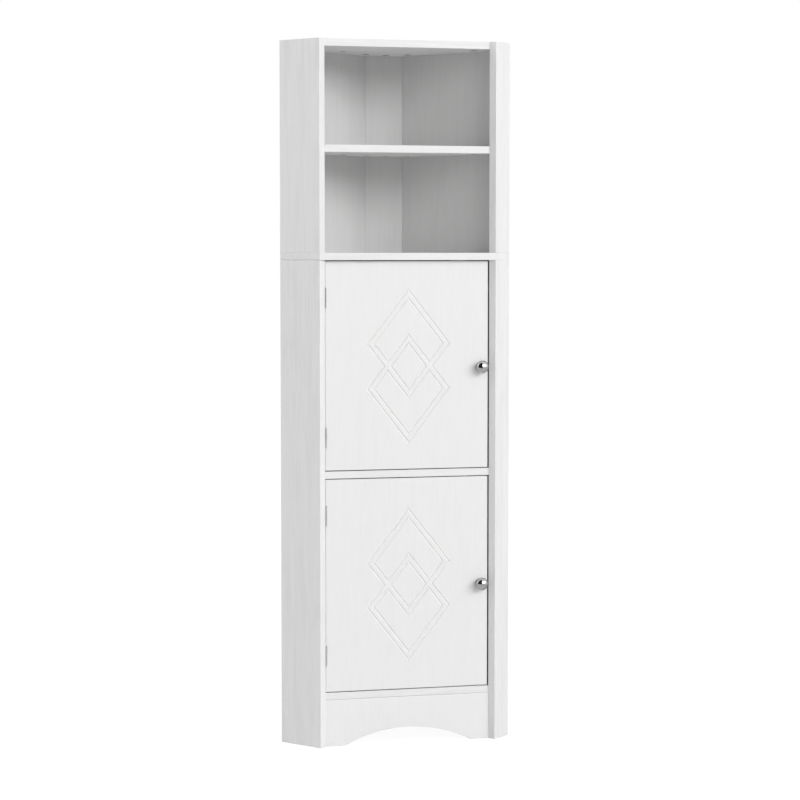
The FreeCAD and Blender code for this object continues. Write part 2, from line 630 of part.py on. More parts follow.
for x in SKIRTING_DOWELS:
    add_circle(skirting_ends, x, "Size.skirting_thickness / 2", "Plan.dowel_hole_radius")
pocket(skirting_ends, "Size.skirting_dowel_bite + Size.seat_clearance")
set_place(skirting, "0", "Plan.door_y", "0")
keep(skirting)


# Adjustable shelves and their pins

def make_shelf(unit):
    body = new_body(f"{unit}_inner_shelf")
    sketch = new_sketch(body)
    add_outline(sketch, [
        ("Plan.shelf_corner", "Plan.shelf_edge"), ("Plan.shelf_left", "Plan.shelf_edge"),
        ("Plan.shelf_left", "Plan.shelf_front_left"), ("Plan.shelf_edge", "Plan.shelf_front_right"),
        ("Plan.shelf_edge", "Plan.shelf_corner"),
    ])
    pad(sketch, "Size.shelf_thickness")
    stand_on_walls(body, SHELVES[unit])
    return keep(body)


for unit in SHELVES:
    make_shelf(unit)

shelf_pin = doc.addObject("Part::Cylinder", "shelf_pin")
shelf_pin.setExpression("Radius", "Size.pin_radius")
shelf_pin.setExpression("Height", "Size.pin_bite + Size.pin_reach")
pin_spots = []
for z in SHELVES.values():
    level = f"{z} - Size.pin_radius"
    for along in LEFT_PINS:
        pin_spots.append(("Plan.inner_wall - Size.pin_reach", along, level, AXIS_Y, 90))
    for along in LEFT_BACK_PINS:
        pin_spots.append((along, "Size.back_thickness - Size.pin_bite", level, AXIS_X, -90))
    for along in RIGHT_BACK_PINS:
        pin_spots.append(("Size.back_thickness - Size.pin_bite", along, level, AXIS_Y, 90))
stand_on_walls(group("shelf_pins", shelf_pin, pin_spots))


# Cam locks, cam bolts and dowels

cam_lock = new_body("cam_lock")
cam_disc = new_sketch(cam_lock)
add_circle(cam_disc, "0", "0", "Size.cam_radius")
pad(cam_disc, "Size.cam_height")
cam_mouth = new_sketch(cam_lock, "XZ_Plane", "-Size.bolt_head_length")
add_circle(cam_mouth, "0", MID_BOARD, "Size.bolt_head_radius + Size.seat_clearance")
pocket(cam_mouth, "Size.bolt_head_length + Size.cam_radius", reverse=True)
half_slot = ("Size.cam_slot_length / 2", "Size.cam_slot_width / 2")
for long_way, short_way in (half_slot, half_slot[::-1]):
    slot = new_sketch(cam_lock)
    add_rectangle(slot, (f"-{long_way}", f"-{short_way}"), (long_way, short_way))
    pocket(slot, "Size.cam_slot_depth", reverse=True)

cam_bolt = new_body("cam_bolt")
revolve(cam_bolt, [
    ("0", "-Plan.bolt_length"), ("Size.bolt_thread_radius", "-Plan.bolt_length"),
    ("Size.bolt_thread_radius", "-Size.cam_setback"), ("Size.bolt_shank_radius", "-Size.cam_setback"),
    ("Size.bolt_shank_radius", "-Size.bolt_head_length"),
    ("Size.bolt_head_radius", "-Size.bolt_head_length"),
    ("Size.bolt_head_radius", "Size.bolt_head_length / 2"), ("0", "Size.bolt_head_length / 2"),
])

lock_spots = []
bolt_spots = []
for z in ALL_BOARDS.values():
    for x, y, turn in cam_places():
        lock_spots.append((x, y, z, AXIS_Z, turn))
        bolt_spots.append((x, y, f"{z} + {MID_BOARD}", AXIS_Z, turn))
stand_on_walls(group("cam_locks", cam_lock, lock_spots))
stand_on_walls(group("cam_bolts", cam_bolt, bolt_spots))


def make_dowel(label, length):
    dowel = doc.addObject("Part::Cylinder", label)
    dowel.setExpression("Radius", "Size.dowel_radius")
    dowel.setExpression("Height", length)
    return dowel


side_dowel = make_dowel("side_dowel", "Size.dowel_bite + Size.dowel_reach")
dowel_start = "Plan.inner_wall - Size.dowel_reach"
side_spots = []
for z in ALL_BOARDS.values():
    level = f"{z} + {MID_BOARD}"
    side_spots += [(dowel_start, along, level, AXIS_Y, 90) for along in LEFT_DOWELS]
    side_spots += [(along, dowel_start, level, AXIS_X, -90) for along in RIGHT_DOWELS]
stand_on_walls(group("side_dowels", side_dowel, side_spots))

stack_dowel = make_dowel("stack_dowel", "2 * Size.dowel_bite + Size.board_thickness")
stack_start = "Plan.middle_z - Size.dowel_bite"
stack_spots = [(x, y, stack_start, AXIS_Z, 0) for spots in STACK_DOWELS.values() for x, y in spots]
stand_on_walls(group("stack_dowels", stack_dowel, stack_spots))

skirting_dowel = make_dowel("skirting_dowel", "Size.skirting_dowel_bite + Size.dowel_bite")
skirting_start = "Size.plinth_height - Size.skirting_dowel_bite"
group("skirting_dowels", skirting_dowel, [
    (x, SKIRTING_MIDDLE_Y, skirting_start, AXIS_Z, 0) for x in SKIRTING_DOWELS
])


# Hinges

KNUCKLE = "Size.hinge_length / 6"
PIN_BORE = "Size.hinge_pin_radius + Size.running_clearance"
BARREL_CUT = "Size.hinge_barrel_radius + Size.barrel_clearance"
SINK_RADIUS = "Size.screw_head_radius + Size.running_clearance"
LEAF_TAPER = "atan((Size.screw_head_radius - Size.screw_radius) / Size.leaf_thickness)"
STRIKE_TAPER = "atan((Size.screw_head_radius - Size.screw_radius) / Size.strike_thickness)"


def start_leaf(label, low, high):
    """Plate of a hinge leaf with a full-length barrel about the hinge's axis."""
    body = new_body(label)
    plate = new_sketch(body)
    add_rectangle(plate, low, high)
    pad(plate, "Size.hinge_length", midplane=True)
    barrel = new_sketch(body)
    add_circle(barrel, "0", "0", "Size.hinge_barrel_radius")
    pad(barrel, "Size.hinge_length", midplane=True)
    return body


def finish_leaf(body, along):
    """Bore for the pin, and countersunk screw holes that open towards the barrel's side of the plate."""
    bore = new_sketch(body)
    add_circle(bore, "0", "0", PIN_BORE)
    pocket(bore, "Size.hinge_length", midplane=True)
    screws = new_sketch(body, "YZ_Plane", "Plan.barrel_offset")
    for z in LEAF_SCREWS:
        add_circle(screws, along, z, SINK_RADIUS)
    pocket(screws, "Size.leaf_thickness", reverse=True, taper=f"-{LEAF_TAPER}")
    return body


frame_leaf = start_leaf(
    "frame_leaf",
    ("Plan.barrel_offset", "-Plan.barrel_reach - Size.leaf_width"),
    ("Size.hinge_barrel_radius", "0"),
)
middle_cut = new_sketch(frame_leaf)
add_circle(middle_cut, "0", "0", BARREL_CUT)
pocket(middle_cut, f"2 * {KNUCKLE} + Size.knuckle_gap", midplane=True)
finish_leaf(frame_leaf, "-Plan.barrel_reach - Size.leaf_screw_depth")

HINGE_SET = "Plan.door_y - Plan.hinge_y"
door_leaf = start_leaf(
    "door_leaf",
    ("Plan.barrel_offset", "0"),
    ("Size.hinge_barrel_radius", f"{HINGE_SET} + Size.leaf_width"),
)
for sign, reverse in (("", True), ("-", False)):
    end_cut = new_sketch(door_leaf, "XY_Plane", f"{sign}({KNUCKLE} - Size.knuckle_gap / 2)")
    add_circle(end_cut, "0", "0", BARREL_CUT)
    pocket(end_cut, "Size.hinge_length / 2", reverse)
finish_leaf(door_leaf, f"{HINGE_SET} + Size.leaf_screw_depth")

hinge_pin = doc.addObject("Part::Cylinder", "hinge_pin")
hinge_pin.setExpression("Radius", "Size.hinge_pin_radius")
hinge_pin.setExpression("Height", "Size.hinge_length")

wood_screw = new_body("wood_screw")
revolve(wood_screw, [
    ("0", "0"), ("Size.screw_head_radius", "0"), ("Size.screw_radius", "Plan.screw_head_depth"),
    ("Size.screw_radius", "Size.screw_length - Size.screw_tip"), ("0", "Size.screw_length"),
])

all_hinges = [z for door in DOORS for z in HINGE_HEIGHTS[door]]
frame_spots = [("Plan.hinge_wall_x", "Plan.hinge_wall_y", z, AXIS_Z, 0) for z in all_hinges]
stand_on_walls(group("hinge_frame_leaves", frame_leaf, frame_spots))
group("hinge_pins", hinge_pin, [
    ("Plan.hinge_x", "Plan.hinge_y", f"{z} - Size.hinge_length / 2", AXIS_Z, 0) for z in all_hinges
])
stand_on_walls(group("hinge_frame_screws", wood_screw, [
    ("Plan.inner_wall", PANEL_SCREW_LINE, f"{z} + ({offset})", AXIS_Z, -90)
    for z in all_hinges for offset in LEAF_SCREWS
]))


# Magnetic catches under the boards above the doors

catch = new_body("catch")
catch_plan = new_sketch(catch)
add_rectangle(catch_plan, ("-Size.catch_width / 2", "0"), ("Size.catch_width / 2", "Size.catch_depth"))
pad(catch_plan, "Size.catch_height")
magnet_bed = new_sketch(catch, "XZ_Plane")
magnet_low = "(Size.catch_height - Size.magnet_height) / 2"
bed_half = "Size.magnet_width / 2 + Size.running_clearance"
bed_low = f"{magnet_low} - Size.running_clearance"
bed_high = f"{magnet_low} + Size.magnet_height + Size.running_clearance"
add_rectangle(magnet_bed, (f"-({bed_half})", bed_low), (bed_half, bed_high))
pocket(magnet_bed, "Size.magnet_depth - Size.magnet_proud")
for radius, depth in (
    ("Plan.screw_hole_radius", "Size.catch_height"),
    ("Size.screw_head_radius + Size.seat_clearance", "Size.catch_height / 2 + Plan.screw_head_depth"),
):
    ears = new_sketch(catch)
    for sign in ("-", ""):
        add_circle(ears, f"{sign}Size.catch_screw_pitch / 2", CATCH_SCREW_LINE, radius)
    pocket(ears, depth, reverse=True)

magnet = doc.addObject("Part::Box", "magnet")
magnet.setExpression("Length", "Size.magnet_width")
magnet.setExpression("Width", "Size.magnet_depth")
magnet.setExpression("Height", "Size.magnet_height")

CATCH_Z = {"lower": "Plan.divider_z - Size.catch_height", "upper": "Plan.middle_z - Size.catch_height"}
group("catch_housings", catch, [("Plan.catch_x", "Plan.catch_y", z, AXIS_Z, 0) for z in CATCH_Z.values()])
group("catch_magnets", magnet, [
    ("Plan.catch_x - Size.magnet_width / 2", "Plan.magnet_y", f"{z} + {magnet_low}", AXIS_Z, 0)
    for z in CATCH_Z.values()
])
group("catch_screws", wood_screw, [
    (x, CATCH_SCREW_Y, f"{z} + Size.catch_height / 2", AXIS_X, 90)
    for z in CATCH_Z.values() for x in CATCH_SCREWS
])


# Doors

def diamond_marks(middle, reach, sign):
    """Outer tip of the upper or lower diamond, its half width, and the height of its side corners."""
    x, y = middle
    tip = (x, f"{y} {sign} (Size.diamond_shift + ({reach}))")
    return tip, f"({reach}) / Plan.diamond_slope", f"{y} {sign} Size.diamond_shift"


def union_outline(middle, reach):
    """Outline of both diamonds together, each of the same half height."""
    x, y = middle
    top, width, upper = diamond_marks(middle, reach, "+")
    bottom, _, lower = diamond_marks(middle, reach, "-")
    waist = f"(({reach}) - Size.diamond_shift) / Plan.diamond_slope"
    right = [(f"{x} + {width}", upper), (f"{x} + {waist}", y), (f"{x} + {width}", lower)]
    left = [(f"{x} - {width}", lower), (f"{x} - {waist}", y), (f"{x} - {width}", upper)]
    return [top] + right + [bottom] + left


def chevron_outline(middle, own, other, sign):
    """What one diamond's inside keeps when the other diamond is taken out of it."""
    x, y = middle
    far = "-" if sign == "+" else "+"
    tip, width, level = diamond_marks(middle, own, sign)
    cross_x = f"(({own}) + ({other}) - 2 * Size.diamond_shift) / (2 * Plan.diamond_slope)"
    cross_y = f"{y} {sign} (({other}) - ({own})) / 2"
    notch = (x, f"{y} {far} Size.diamond_shift {sign} ({other})")
    right = [(f"{x} + {width}", level), (f"{x} + {cross_x}", cross_y)]
    left = [(f"{x} - {cross_x}", cross_y), (f"{x} - {width}", level)]
    return [tip] + right + [notch] + left


def heart_outline(middle, reach):
    """The small diamond where the insides of both overlap."""
    x, y = middle
    high = f"(({reach}) - Size.diamond_shift)"
    wide = f"{high} / Plan.diamond_slope"
    return [(x, f"{y} + {high}"), (f"{x} + {wide}", y), (x, f"{y} - {high}"), (f"{x} - {wide}", y)]


def groove_outlines(middle, edge):
    """Outlines of the grooves at one of their edges: the one round both diamonds, and those inside it."""
    other = "near" if edge == "far" else "far"
    own = f"Plan.inner_{edge}"
    insides = [chevron_outline(middle, own, f"Plan.outer_{other}", sign) for sign in ("+", "-")]
    insides.append(heart_outline(middle, own))
    return [union_outline(middle, f"Plan.outer_{edge}")], insides


def add_face_outlines(body, outlines):
    """Sketch of closed outlines on a door's front face."""
    sketch = new_sketch(body, "XZ_Plane")
    for outline in outlines:
        add_outline(sketch, outline)
    return sketch


def cut_diamonds(body, middle):
    """Fine closed grooves round two crossing bands: each outline is sunk, and its inside filled again."""
    for far, near in zip(groove_outlines(middle, "far"), groove_outlines(middle, "near")):
        pocket(add_face_outlines(body, far), "Size.groove_depth", taper="-Plan.groove_taper")
        pad(add_face_outlines(body, near), "Size.groove_depth", reverse=True, taper="Plan.groove_taper")


def bevel_front_edges(body, width):
    """Bevel the edges round a door's front face, while the panel is still plain."""
    base = body.Tip
    half_way = number("Size.door_thickness / 2")
    names = [
        f"Edge{index}" for index, edge in enumerate(base.Shape.Edges, start=1)
        if edge.BoundBox.YMax < half_way
    ]
    bevel = body.newObject("PartDesign::Chamfer", body.Name + "_bevel")
    bevel.Base = (base, names)
    bevel.setExpression("Size", width)
    doc.recompute()


def make_door(door):
    """Door panel with diamonds on its face, hinge recesses in its left edge and holes for its fittings."""
    height = f"Plan.{door}_door_height"
    strike_level = f"{height} + Size.door_gap - Size.catch_height / 2"
    body = new_body(f"{door}_door_panel")
    face = new_sketch(body, "XZ_Plane")
    add_rectangle(face, ("0", "0"), ("Plan.door_width", height))
    pad(face, "Size.door_thickness", reverse=True)
    bevel_front_edges(body, "Size.door_edge_bevel")
    ornament_middle = ("Plan.door_width / 2 + Size.ornament_shift", f"{height} / 2 - Size.ornament_drop")
    cut_diamonds(body, ornament_middle)
    recesses = new_sketch(body, "YZ_Plane")
    pilot_holes = new_sketch(body, "YZ_Plane")
    low_inset, high_inset = HINGE_INSETS[door]
    for z in (low_inset, f"{height} - {high_inset}"):
        low = ("-Size.cut_overrun", f"{z} - {RECESS_HALF}")
        high = ("Size.leaf_width + Size.seat_clearance", f"{z} + {RECESS_HALF}")
        add_rectangle(recesses, low, high)
        for offset in LEAF_SCREWS:
            add_circle(pilot_holes, "Size.leaf_screw_depth", f"{z} + ({offset})", "Plan.screw_hole_radius")
    pocket(recesses, "Plan.leaf_recess", reverse=True)
    pocket(pilot_holes, "Plan.leaf_recess - Size.leaf_thickness + Plan.screw_hole_depth", reverse=True)
    knob_hole = new_sketch(body, "XZ_Plane")
    knob_spot = ("Plan.door_width - Size.knob_inset", f"{height} / 2 - Size.knob_drop")
    add_circle(knob_hole, *knob_spot, "Size.knob_screw_radius + Size.running_clearance")
    pocket(knob_hole, "Size.door_thickness")
    strike_holes = new_sketch(body, "XZ_Plane", "-Size.door_thickness")
    for sign in ("-", "+"):
        x = f"Plan.door_width - Size.catch_inset {sign} Size.strike_screw_pitch / 2"
        add_circle(strike_holes, x, strike_level, "Plan.screw_hole_radius")
    pocket(strike_holes, "Plan.screw_hole_depth - Size.strike_thickness", reverse=True)
    set_place(body, "Plan.door_x", "Plan.door_y", f"Plan.{door}_door_z")
    return keep(body)


def make_knob(door):
    """Turned knob: round foot, neck and domed head, bored from behind for its screw."""
    foot = doc.addObject("Part::Cylinder", f"{door}_knob_foot")
    foot.setExpression("Radius", "Size.knob_rose_diameter / 2")
    foot.setExpression("Height", "Size.knob_rose_thickness")
    neck = doc.addObject("Part::Cone", f"{door}_knob_neck")
    neck.setExpression("Radius1", "(Size.knob_rose_diameter + Size.knob_neck_diameter) / 4")
    neck.setExpression("Radius2", "Size.knob_neck_diameter / 2")
    neck.setExpression("Height", "Plan.head_centre - Size.knob_rose_thickness")
    neck.setExpression("Placement.Base.z", "Size.knob_rose_thickness")
    head = doc.addObject("Part::Ellipsoid", f"{door}_knob_head")
    head.setExpression("Radius1", "Size.knob_head_depth / 2")
    head.setExpression("Radius2", "Size.knob_diameter / 2")
    head.setExpression("Radius3", "Size.knob_diameter / 2")
    head.setExpression("Placement.Base.z", "Plan.head_centre")
    turned = doc.addObject("Part::MultiFuse", f"{door}_knob_turned")
    turned.Shapes = [foot, neck, head]
    bore = doc.addObject("Part::Cylinder", f"{door}_knob_bore")
    bore.setExpression("Radius", "Size.knob_screw_radius + Size.running_clearance")
    bore.setExpression("Height", "Size.knob_screw_bite + Size.seat_clearance")
    knob = doc.addObject("Part::Cut", f"{door}_knob")
    knob.Base = turned
    knob.Tool = bore
    knob.Label = f"{door}_knob"
    knob.Placement = FreeCAD.Placement(ORIGIN, FreeCAD.Rotation(AXIS_X, 90))
    set_place(knob, *knob_place(door), f"Plan.{door}_door_z + Plan.{door}_door_height / 2 - Size.knob_drop")
    return keep(knob)


def knob_place(door):
    return "Plan.door_x + Plan.door_width - Size.knob_inset", "Plan.door_y"


def make_knob_screw(door):
    """Round-headed machine screw from the back of the door into the knob."""
    body = new_body(f"{door}_knob_screw")
    revolve(body, [
        ("0", "-Size.knob_screw_bite"), ("Size.knob_screw_radius", "-Size.knob_screw_bite"),
        ("Size.knob_screw_radius", "Size.door_thickness"),
        ("Size.knob_screw_head_radius", "Size.door_thickness"),
        ("Size.knob_screw_head_radius", "Size.door_thickness + Size.knob_screw_head_height / 2"),
        ("Size.knob_screw_head_radius / 2", "Size.door_thickness + Size.knob_screw_head_height"),
        ("0", "Size.door_thickness + Size.knob_screw_head_height"),
    ])
    set_place(body, *knob_place(door), f"Plan.{door}_door_z + Plan.{door}_door_height / 2 - Size.knob_drop")
    return keep(body)


def make_strike(door):
    """Strike plate on the back of the door, level with the catch, with its two screws."""
    level = f"{CATCH_Z[door]} + Size.catch_height / 2"
    half_width, half_height = "Size.strike_width / 2", "Size.strike_height / 2"
    body = new_body(f"{door}_strike_plate")
    plate = new_sketch(body, "XZ_Plane")
    add_rectangle(plate, (f"-{half_width}", f"-{half_height}"), (half_width, half_height))
    pad(plate, "Size.strike_thickness", reverse=True)
    holes = new_sketch(body, "XZ_Plane", "-Size.strike_thickness")
    for sign in ("-", ""):
        add_circle(holes, f"{sign}Size.strike_screw_pitch / 2", "0", SINK_RADIUS)
    pocket(holes, "Size.strike_thickness", reverse=True, taper=f"-{STRIKE_TAPER}")
    set_place(body, "Plan.catch_x", "Plan.door_back_y", level)
    keep(body)
    face = "Plan.door_back_y + Size.strike_thickness"
    group(f"{door}_strike_screws", wood_screw, [
        (f"Plan.catch_x {sign} Size.strike_screw_pitch / 2", face, level, AXIS_Z, 180)
        for sign in ("-", "+")
    ])


for door in DOORS:
    make_door(door)
    make_knob(door)
    make_knob_screw(door)
    make_strike(door)
    group(f"{door}_hinge_door_leaves", door_leaf, [
        ("Plan.hinge_x", "Plan.hinge_y", z, AXIS_Z, 0) for z in HINGE_HEIGHTS[door]
    ])
    group(f"{door}_hinge_door_screws", wood_screw, [
        ("Plan.leaf_x", "Plan.door_y + Size.leaf_screw_depth", f"{z} + ({offset})", AXIS_Z, -90)
        for z in HINGE_HEIGHTS[door] for offset in LEAF_SCREWS
    ])


# Check every piece, then write it

doc.recompute()
for item in doc.Objects:
    if "Invalid" in item.State or "Error" in item.State:
        raise RuntimeError(f"{item.Label} failed: {item.State}")
for piece in nodes:
    if piece.Shape.isNull() or not piece.Shape.isValid() or not piece.Shape.Solids:
        raise RuntimeError(f"{piece.Label} has no sound shape")
os.makedirs("parts", exist_ok=True)
for piece in nodes:
    piece.Shape.exportStep(f"parts/{piece.Label}.step")
print(f"{len(nodes)} nodes, {sum(len(piece.Shape.Solids) for piece in nodes)} solids")
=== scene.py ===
"""Looks of a tall corner cabinet for a bathroom, dressed on its packed construction.

The file is an add-on: each operator finishes one group of pieces, and a panel in the
sidebar lists them. Lengths are in metres. The front faces -Y and +Z is up, as in the
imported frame.
"""
import json
import math

import bmesh
import bpy
import numpy as np
from mathutils import Matrix, Vector


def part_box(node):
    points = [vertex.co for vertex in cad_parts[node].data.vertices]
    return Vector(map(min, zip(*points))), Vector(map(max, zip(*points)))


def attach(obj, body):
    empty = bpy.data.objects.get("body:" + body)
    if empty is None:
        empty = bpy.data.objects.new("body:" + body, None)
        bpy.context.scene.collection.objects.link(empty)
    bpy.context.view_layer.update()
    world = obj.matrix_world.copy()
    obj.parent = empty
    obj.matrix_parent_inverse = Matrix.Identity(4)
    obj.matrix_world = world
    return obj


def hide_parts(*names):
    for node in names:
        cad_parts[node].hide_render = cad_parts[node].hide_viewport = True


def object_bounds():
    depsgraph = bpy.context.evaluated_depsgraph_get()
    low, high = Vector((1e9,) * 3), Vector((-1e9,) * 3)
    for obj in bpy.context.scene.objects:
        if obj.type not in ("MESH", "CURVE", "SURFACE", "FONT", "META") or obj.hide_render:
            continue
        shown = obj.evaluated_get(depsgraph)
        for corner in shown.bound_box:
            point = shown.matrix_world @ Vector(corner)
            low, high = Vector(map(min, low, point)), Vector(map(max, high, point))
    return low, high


bl_info = {
    "name": "Corner cabinet finish",
    "version": (1, 0, 0),
    "blender": (4, 5, 0),
    "location": "3D View > Sidebar > Cabinet",
    "description": "Finishes the pieces of a tall corner cabinet and sets its stage",
    "category": "Object",
}

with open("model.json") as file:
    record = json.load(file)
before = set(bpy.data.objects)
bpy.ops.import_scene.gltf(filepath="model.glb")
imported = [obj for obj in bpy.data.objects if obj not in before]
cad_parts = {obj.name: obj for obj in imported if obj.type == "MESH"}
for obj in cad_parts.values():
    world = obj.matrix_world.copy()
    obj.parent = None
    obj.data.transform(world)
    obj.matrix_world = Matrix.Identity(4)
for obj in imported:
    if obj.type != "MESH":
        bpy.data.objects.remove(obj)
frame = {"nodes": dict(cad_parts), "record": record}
CAD_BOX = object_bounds()
BODIES = frame["record"]["behaviour"]["bodies"]
BODY_OF = {node: body for body, nodes in BODIES.items() for node in nodes}
DOORS = ("lower", "upper")

SIDES = [f"{unit}_{side}_side" for unit in DOORS for side in ("left", "right")]
BACKS = [f"{unit}_{side}_back" for unit in DOORS for side in ("left", "right", "corner")]
LEVEL_BOARDS = [
    "bottom_board", "divider_board", "middle_board", "open_shelf", "top_board",
    "lower_inner_shelf", "upper_inner_shelf",
]

# Limits for telling points, edges and faces apart
WELD_DISTANCE = 1e-6
SAME_PLACE = 1e-4
SMALL_FACE = 6e-5
FLAT_ANGLE = math.radians(0.5)
CORNER_ANGLE = math.radians(50)
CREASE_ANGLE = math.radians(35)

# Steps of round shapes
ROUND_STEPS = 3
LATHE_STEPS = 72
FOOT_STEPS = 5
NECK_STEPS = 10
HEAD_STEPS = 26
SCREW_STEPS = 32

# Shares of a screw's head and shank
WOOD_RECESS_SHARE = 1.3
WOOD_RECESS_DEPTH_SHARE = 0.7
BOLT_FACE_SHARE = 0.6
BOLT_POINT_SHARE = 0.5

# Frequencies of grain and texture, to the metre
GRAIN_ACROSS = 360.0
GRAIN_ALONG = 24.0
FLECK_SCALE = 900.0
PATCH_SHARE = 0.2

# Depths of relief
FOIL_RELIEF = 0.0002
BEECH_RELIEF = 0.0002
METAL_RELIEF = 0.0001
MOULDED_RELIEF = 0.0001

# Darker places, as shares of a finish's colour
RIM_SHARE = 0.3
DULL_SHARE = 0.86
FLECK_SHARE = 0.7
SPECK_SHARE = 0.9
SPECK_ROUGHNESS = 0.15

# Stage
WHITE = (1, 1, 1, 1)
CARD_TONE = (0.02, 0.02, 0.02, 1)
SKY_BAND = (0.15, 0.6)
FLOOR_GLOW = 1.13
CARD_RISE_SHARE = 0.41


def length(label, note, metres):
    """Property for a length."""
    return bpy.props.FloatProperty(
        name=label, description=note, default=metres, min=0, unit="LENGTH", precision=5
    )


def colour(label, note, rgb):
    """Property for a colour."""
    return bpy.props.FloatVectorProperty(
        name=label, description=note, default=rgb, min=0, max=1, size=3, subtype="COLOR"
    )


def amount(label, note, value, low=0.0, high=1.0):
    """Property for a plain number."""
    return bpy.props.FloatProperty(name=label, description=note, default=value, min=low, max=high)


def turn(label, note, degrees):
    """Property for an angle."""
    return bpy.props.FloatProperty(
        name=label, description=note, default=math.radians(degrees), subtype="ANGLE"
    )


class CabinetSizes(bpy.types.PropertyGroup):
    """Small sizes that the finish adds to the construction"""

    board_round: length("Board edges", "Rounding on the edges of boards and panels", 0.0007)
    joint_round: length(
        "Joint edges", "Rounding under the middle board's left end and round the skirting", 0.002
    )
    door_round: length("Door edges", "Rounding on the edges of the doors", 0.0005)
    rose_radius: length("Knob foot radius", "Round foot of a knob", 0.011)
    rose_height: length("Knob foot height", "Round foot of a knob, off the door", 0.0026)
    rose_round: length("Knob foot edge", "Rounding on the foot's rim", 0.0011)
    neck_radius: length("Knob neck radius", "Neck between a knob's foot and head", 0.0055)
    head_depth: length("Knob head depth", "Head of a knob, front to back", 0.021)
    screw_shank: length("Screw shank radius", "Wood screws under their heads", 0.0014)
    screw_sink: length("Screw head depth", "Countersunk heads", 0.0008)
    screw_tip: length("Screw point", "Pointed end of a wood screw", 0.0025)
    bolt_shank: length("Knob screw radius", "Machine screws of the knobs", 0.002)
    bolt_head: length("Knob screw head", "Height of the machine screws' heads", 0.0024)
    recess_width: length("Recess width", "Cross recess in a screw's head", 0.0006)
    recess_depth: length("Recess depth", "Cross recess in a screw's head", 0.0009)


class CabinetColours(bpy.types.PropertyGroup):
    """Colours of the finishes"""

    foil_light: colour("Foil", "White foil on boards and doors", (0.87, 0.87, 0.867))
    foil_streak: colour("Foil streaks", "Printed streaks in the foil", (0.79, 0.79, 0.79))
    # The back foil's grey is painted shade: it darkens the back panels as if the bays stood in
    # shadow. Its printed streaks are the foil's own grain.
    back_painted_shade: colour("Back foil", "Thin, greyer foil on the back panels", (0.66, 0.66, 0.658))
    back_painted_shade_streaks: colour("Back foil streaks", "Printed streaks in the back foil", (0.6, 0.6, 0.6))
    chrome: colour("Knob metal", "Polished plating of the knobs", (0.6, 0.6, 0.61))
    steel: colour("Steel", "Plated hinges, screws and bolts", (0.72, 0.72, 0.71))
    zinc: colour("Cast zinc", "Cam locks", (0.33, 0.33, 0.34))
    beech: colour("Beech", "Dowels", (0.52, 0.33, 0.17))
    plastic: colour("Catch housing", "Moulded plastic of the catches", (0.78, 0.78, 0.76))
    ferrite: colour("Magnet", "Dull ferrite", (0.035, 0.035, 0.038))


class CabinetStage(bpy.types.PropertyGroup):
    """Camera, light and floor"""

    camera_place: bpy.props.FloatVectorProperty(
        name="Camera", description="Where the camera stands", default=(-1.2138, -4.9631, 1.0899),
        size=3, subtype="TRANSLATION", unit="LENGTH",
    )
    camera_turn: turn("Camera turn", "Camera's view to the right of straight ahead", 14.044)
    camera_tilt: turn("Camera tilt", "Camera's view below level", 3.736)
    lens: amount("Lens", "Focal length in millimetres on a 36 mm frame", 102.36, 1, 300)
    low_sky: amount("Low sky", "Light from round about the horizon", 0.33, 0, 2)
    high_sky: amount("High sky", "Light from overhead", 0.6, 0, 2)
    key_power: amount(
        "Key lamp", "Broad soft lamp up to the right of the front, in watts", 2400, 0, 9000
    )
    key_turn: turn("Key turn", "Key lamp to the right of straight in front", 28)
    key_rise: turn("Key rise", "Key lamp above the level of the cabinet's middle", 22)
    key_width: length("Key width", "Level edge of the key lamp", 20.0)
    key_height: length("Key height", "Other edge of the key lamp", 8.0)
    fill_power: amount("Fill lamp", "Soft lamp up to the left, in watts", 800, 0, 9000)
    fill_turn: turn("Fill turn", "Fill lamp to the right of straight in front", -100)
    fill_rise: turn("Fill rise", "Fill lamp above the level of the cabinet's middle", 25)
    fill_width: length("Fill width", "Level edge of the fill lamp", 8.0)
    fill_height: length("Fill height", "Other edge of the fill lamp", 8.0)
    lamp_distance: length("Lamp distance", "Lamps from the cabinet's middle", 20.0)
    floor_size: length("Floor", "Edge of the square floor", 200.0)
    floor_grey: colour("Floor colour", "Plain pale floor", (0.7, 0.7, 0.7))
    floor_white: amount("Floor white", "How far the floor seen directly is plain white", 0.85)
    card_size: length("Card", "Edge of the dark card that only polished metal shows", 6.0)
    card_distance: length("Card distance", "Dark card in front of the doors", 1.6)
    card_shift: length("Card shift", "Dark card's middle, left of the knobs", 2.95)


# Shader nodes


def add_node(tree, kind, inputs=None, **settings):
    """Add a node. Inputs map a socket's name or number to a value or to another node's socket."""
    made = tree.nodes.new(kind)
    for name, value in settings.items():
        setattr(made, name, value)
    for key, value in (inputs or {}).items():
        if isinstance(value, bpy.types.NodeSocket):
            tree.links.new(value, made.inputs[key])
        else:
            made.inputs[key].default_value = value
    return made


def new_group(name, inputs, outputs):
    """Shader group with a Vector, named numbers and named outputs. Gives its tree and ends."""
    tree = bpy.data.node_groups.new(name, "ShaderNodeTree")
    tree.interface.new_socket("Vector", in_out="INPUT", socket_type="NodeSocketVector")
    for label, default in inputs.items():
        socket = tree.interface.new_socket(label, in_out="INPUT", socket_type="NodeSocketFloat")
        socket.default_value = default
    for label in outputs:
        tree.interface.new_socket(label, in_out="OUTPUT", socket_type="NodeSocketFloat")
    start = add_node(tree, "NodeGroupInput").outputs
    end = add_node(tree, "NodeGroupOutput").inputs
    return tree, start, end


def noise(tree, place, scale, detail, roughness=0.5, distortion=0.0):
    """Noise value at a place."""
    inputs = {
        "Vector": place, "Scale": scale, "Detail": detail,
        "Roughness": roughness, "Distortion": distortion,
    }
    return add_node(tree, "ShaderNodeTexNoise", inputs).outputs["Fac"]


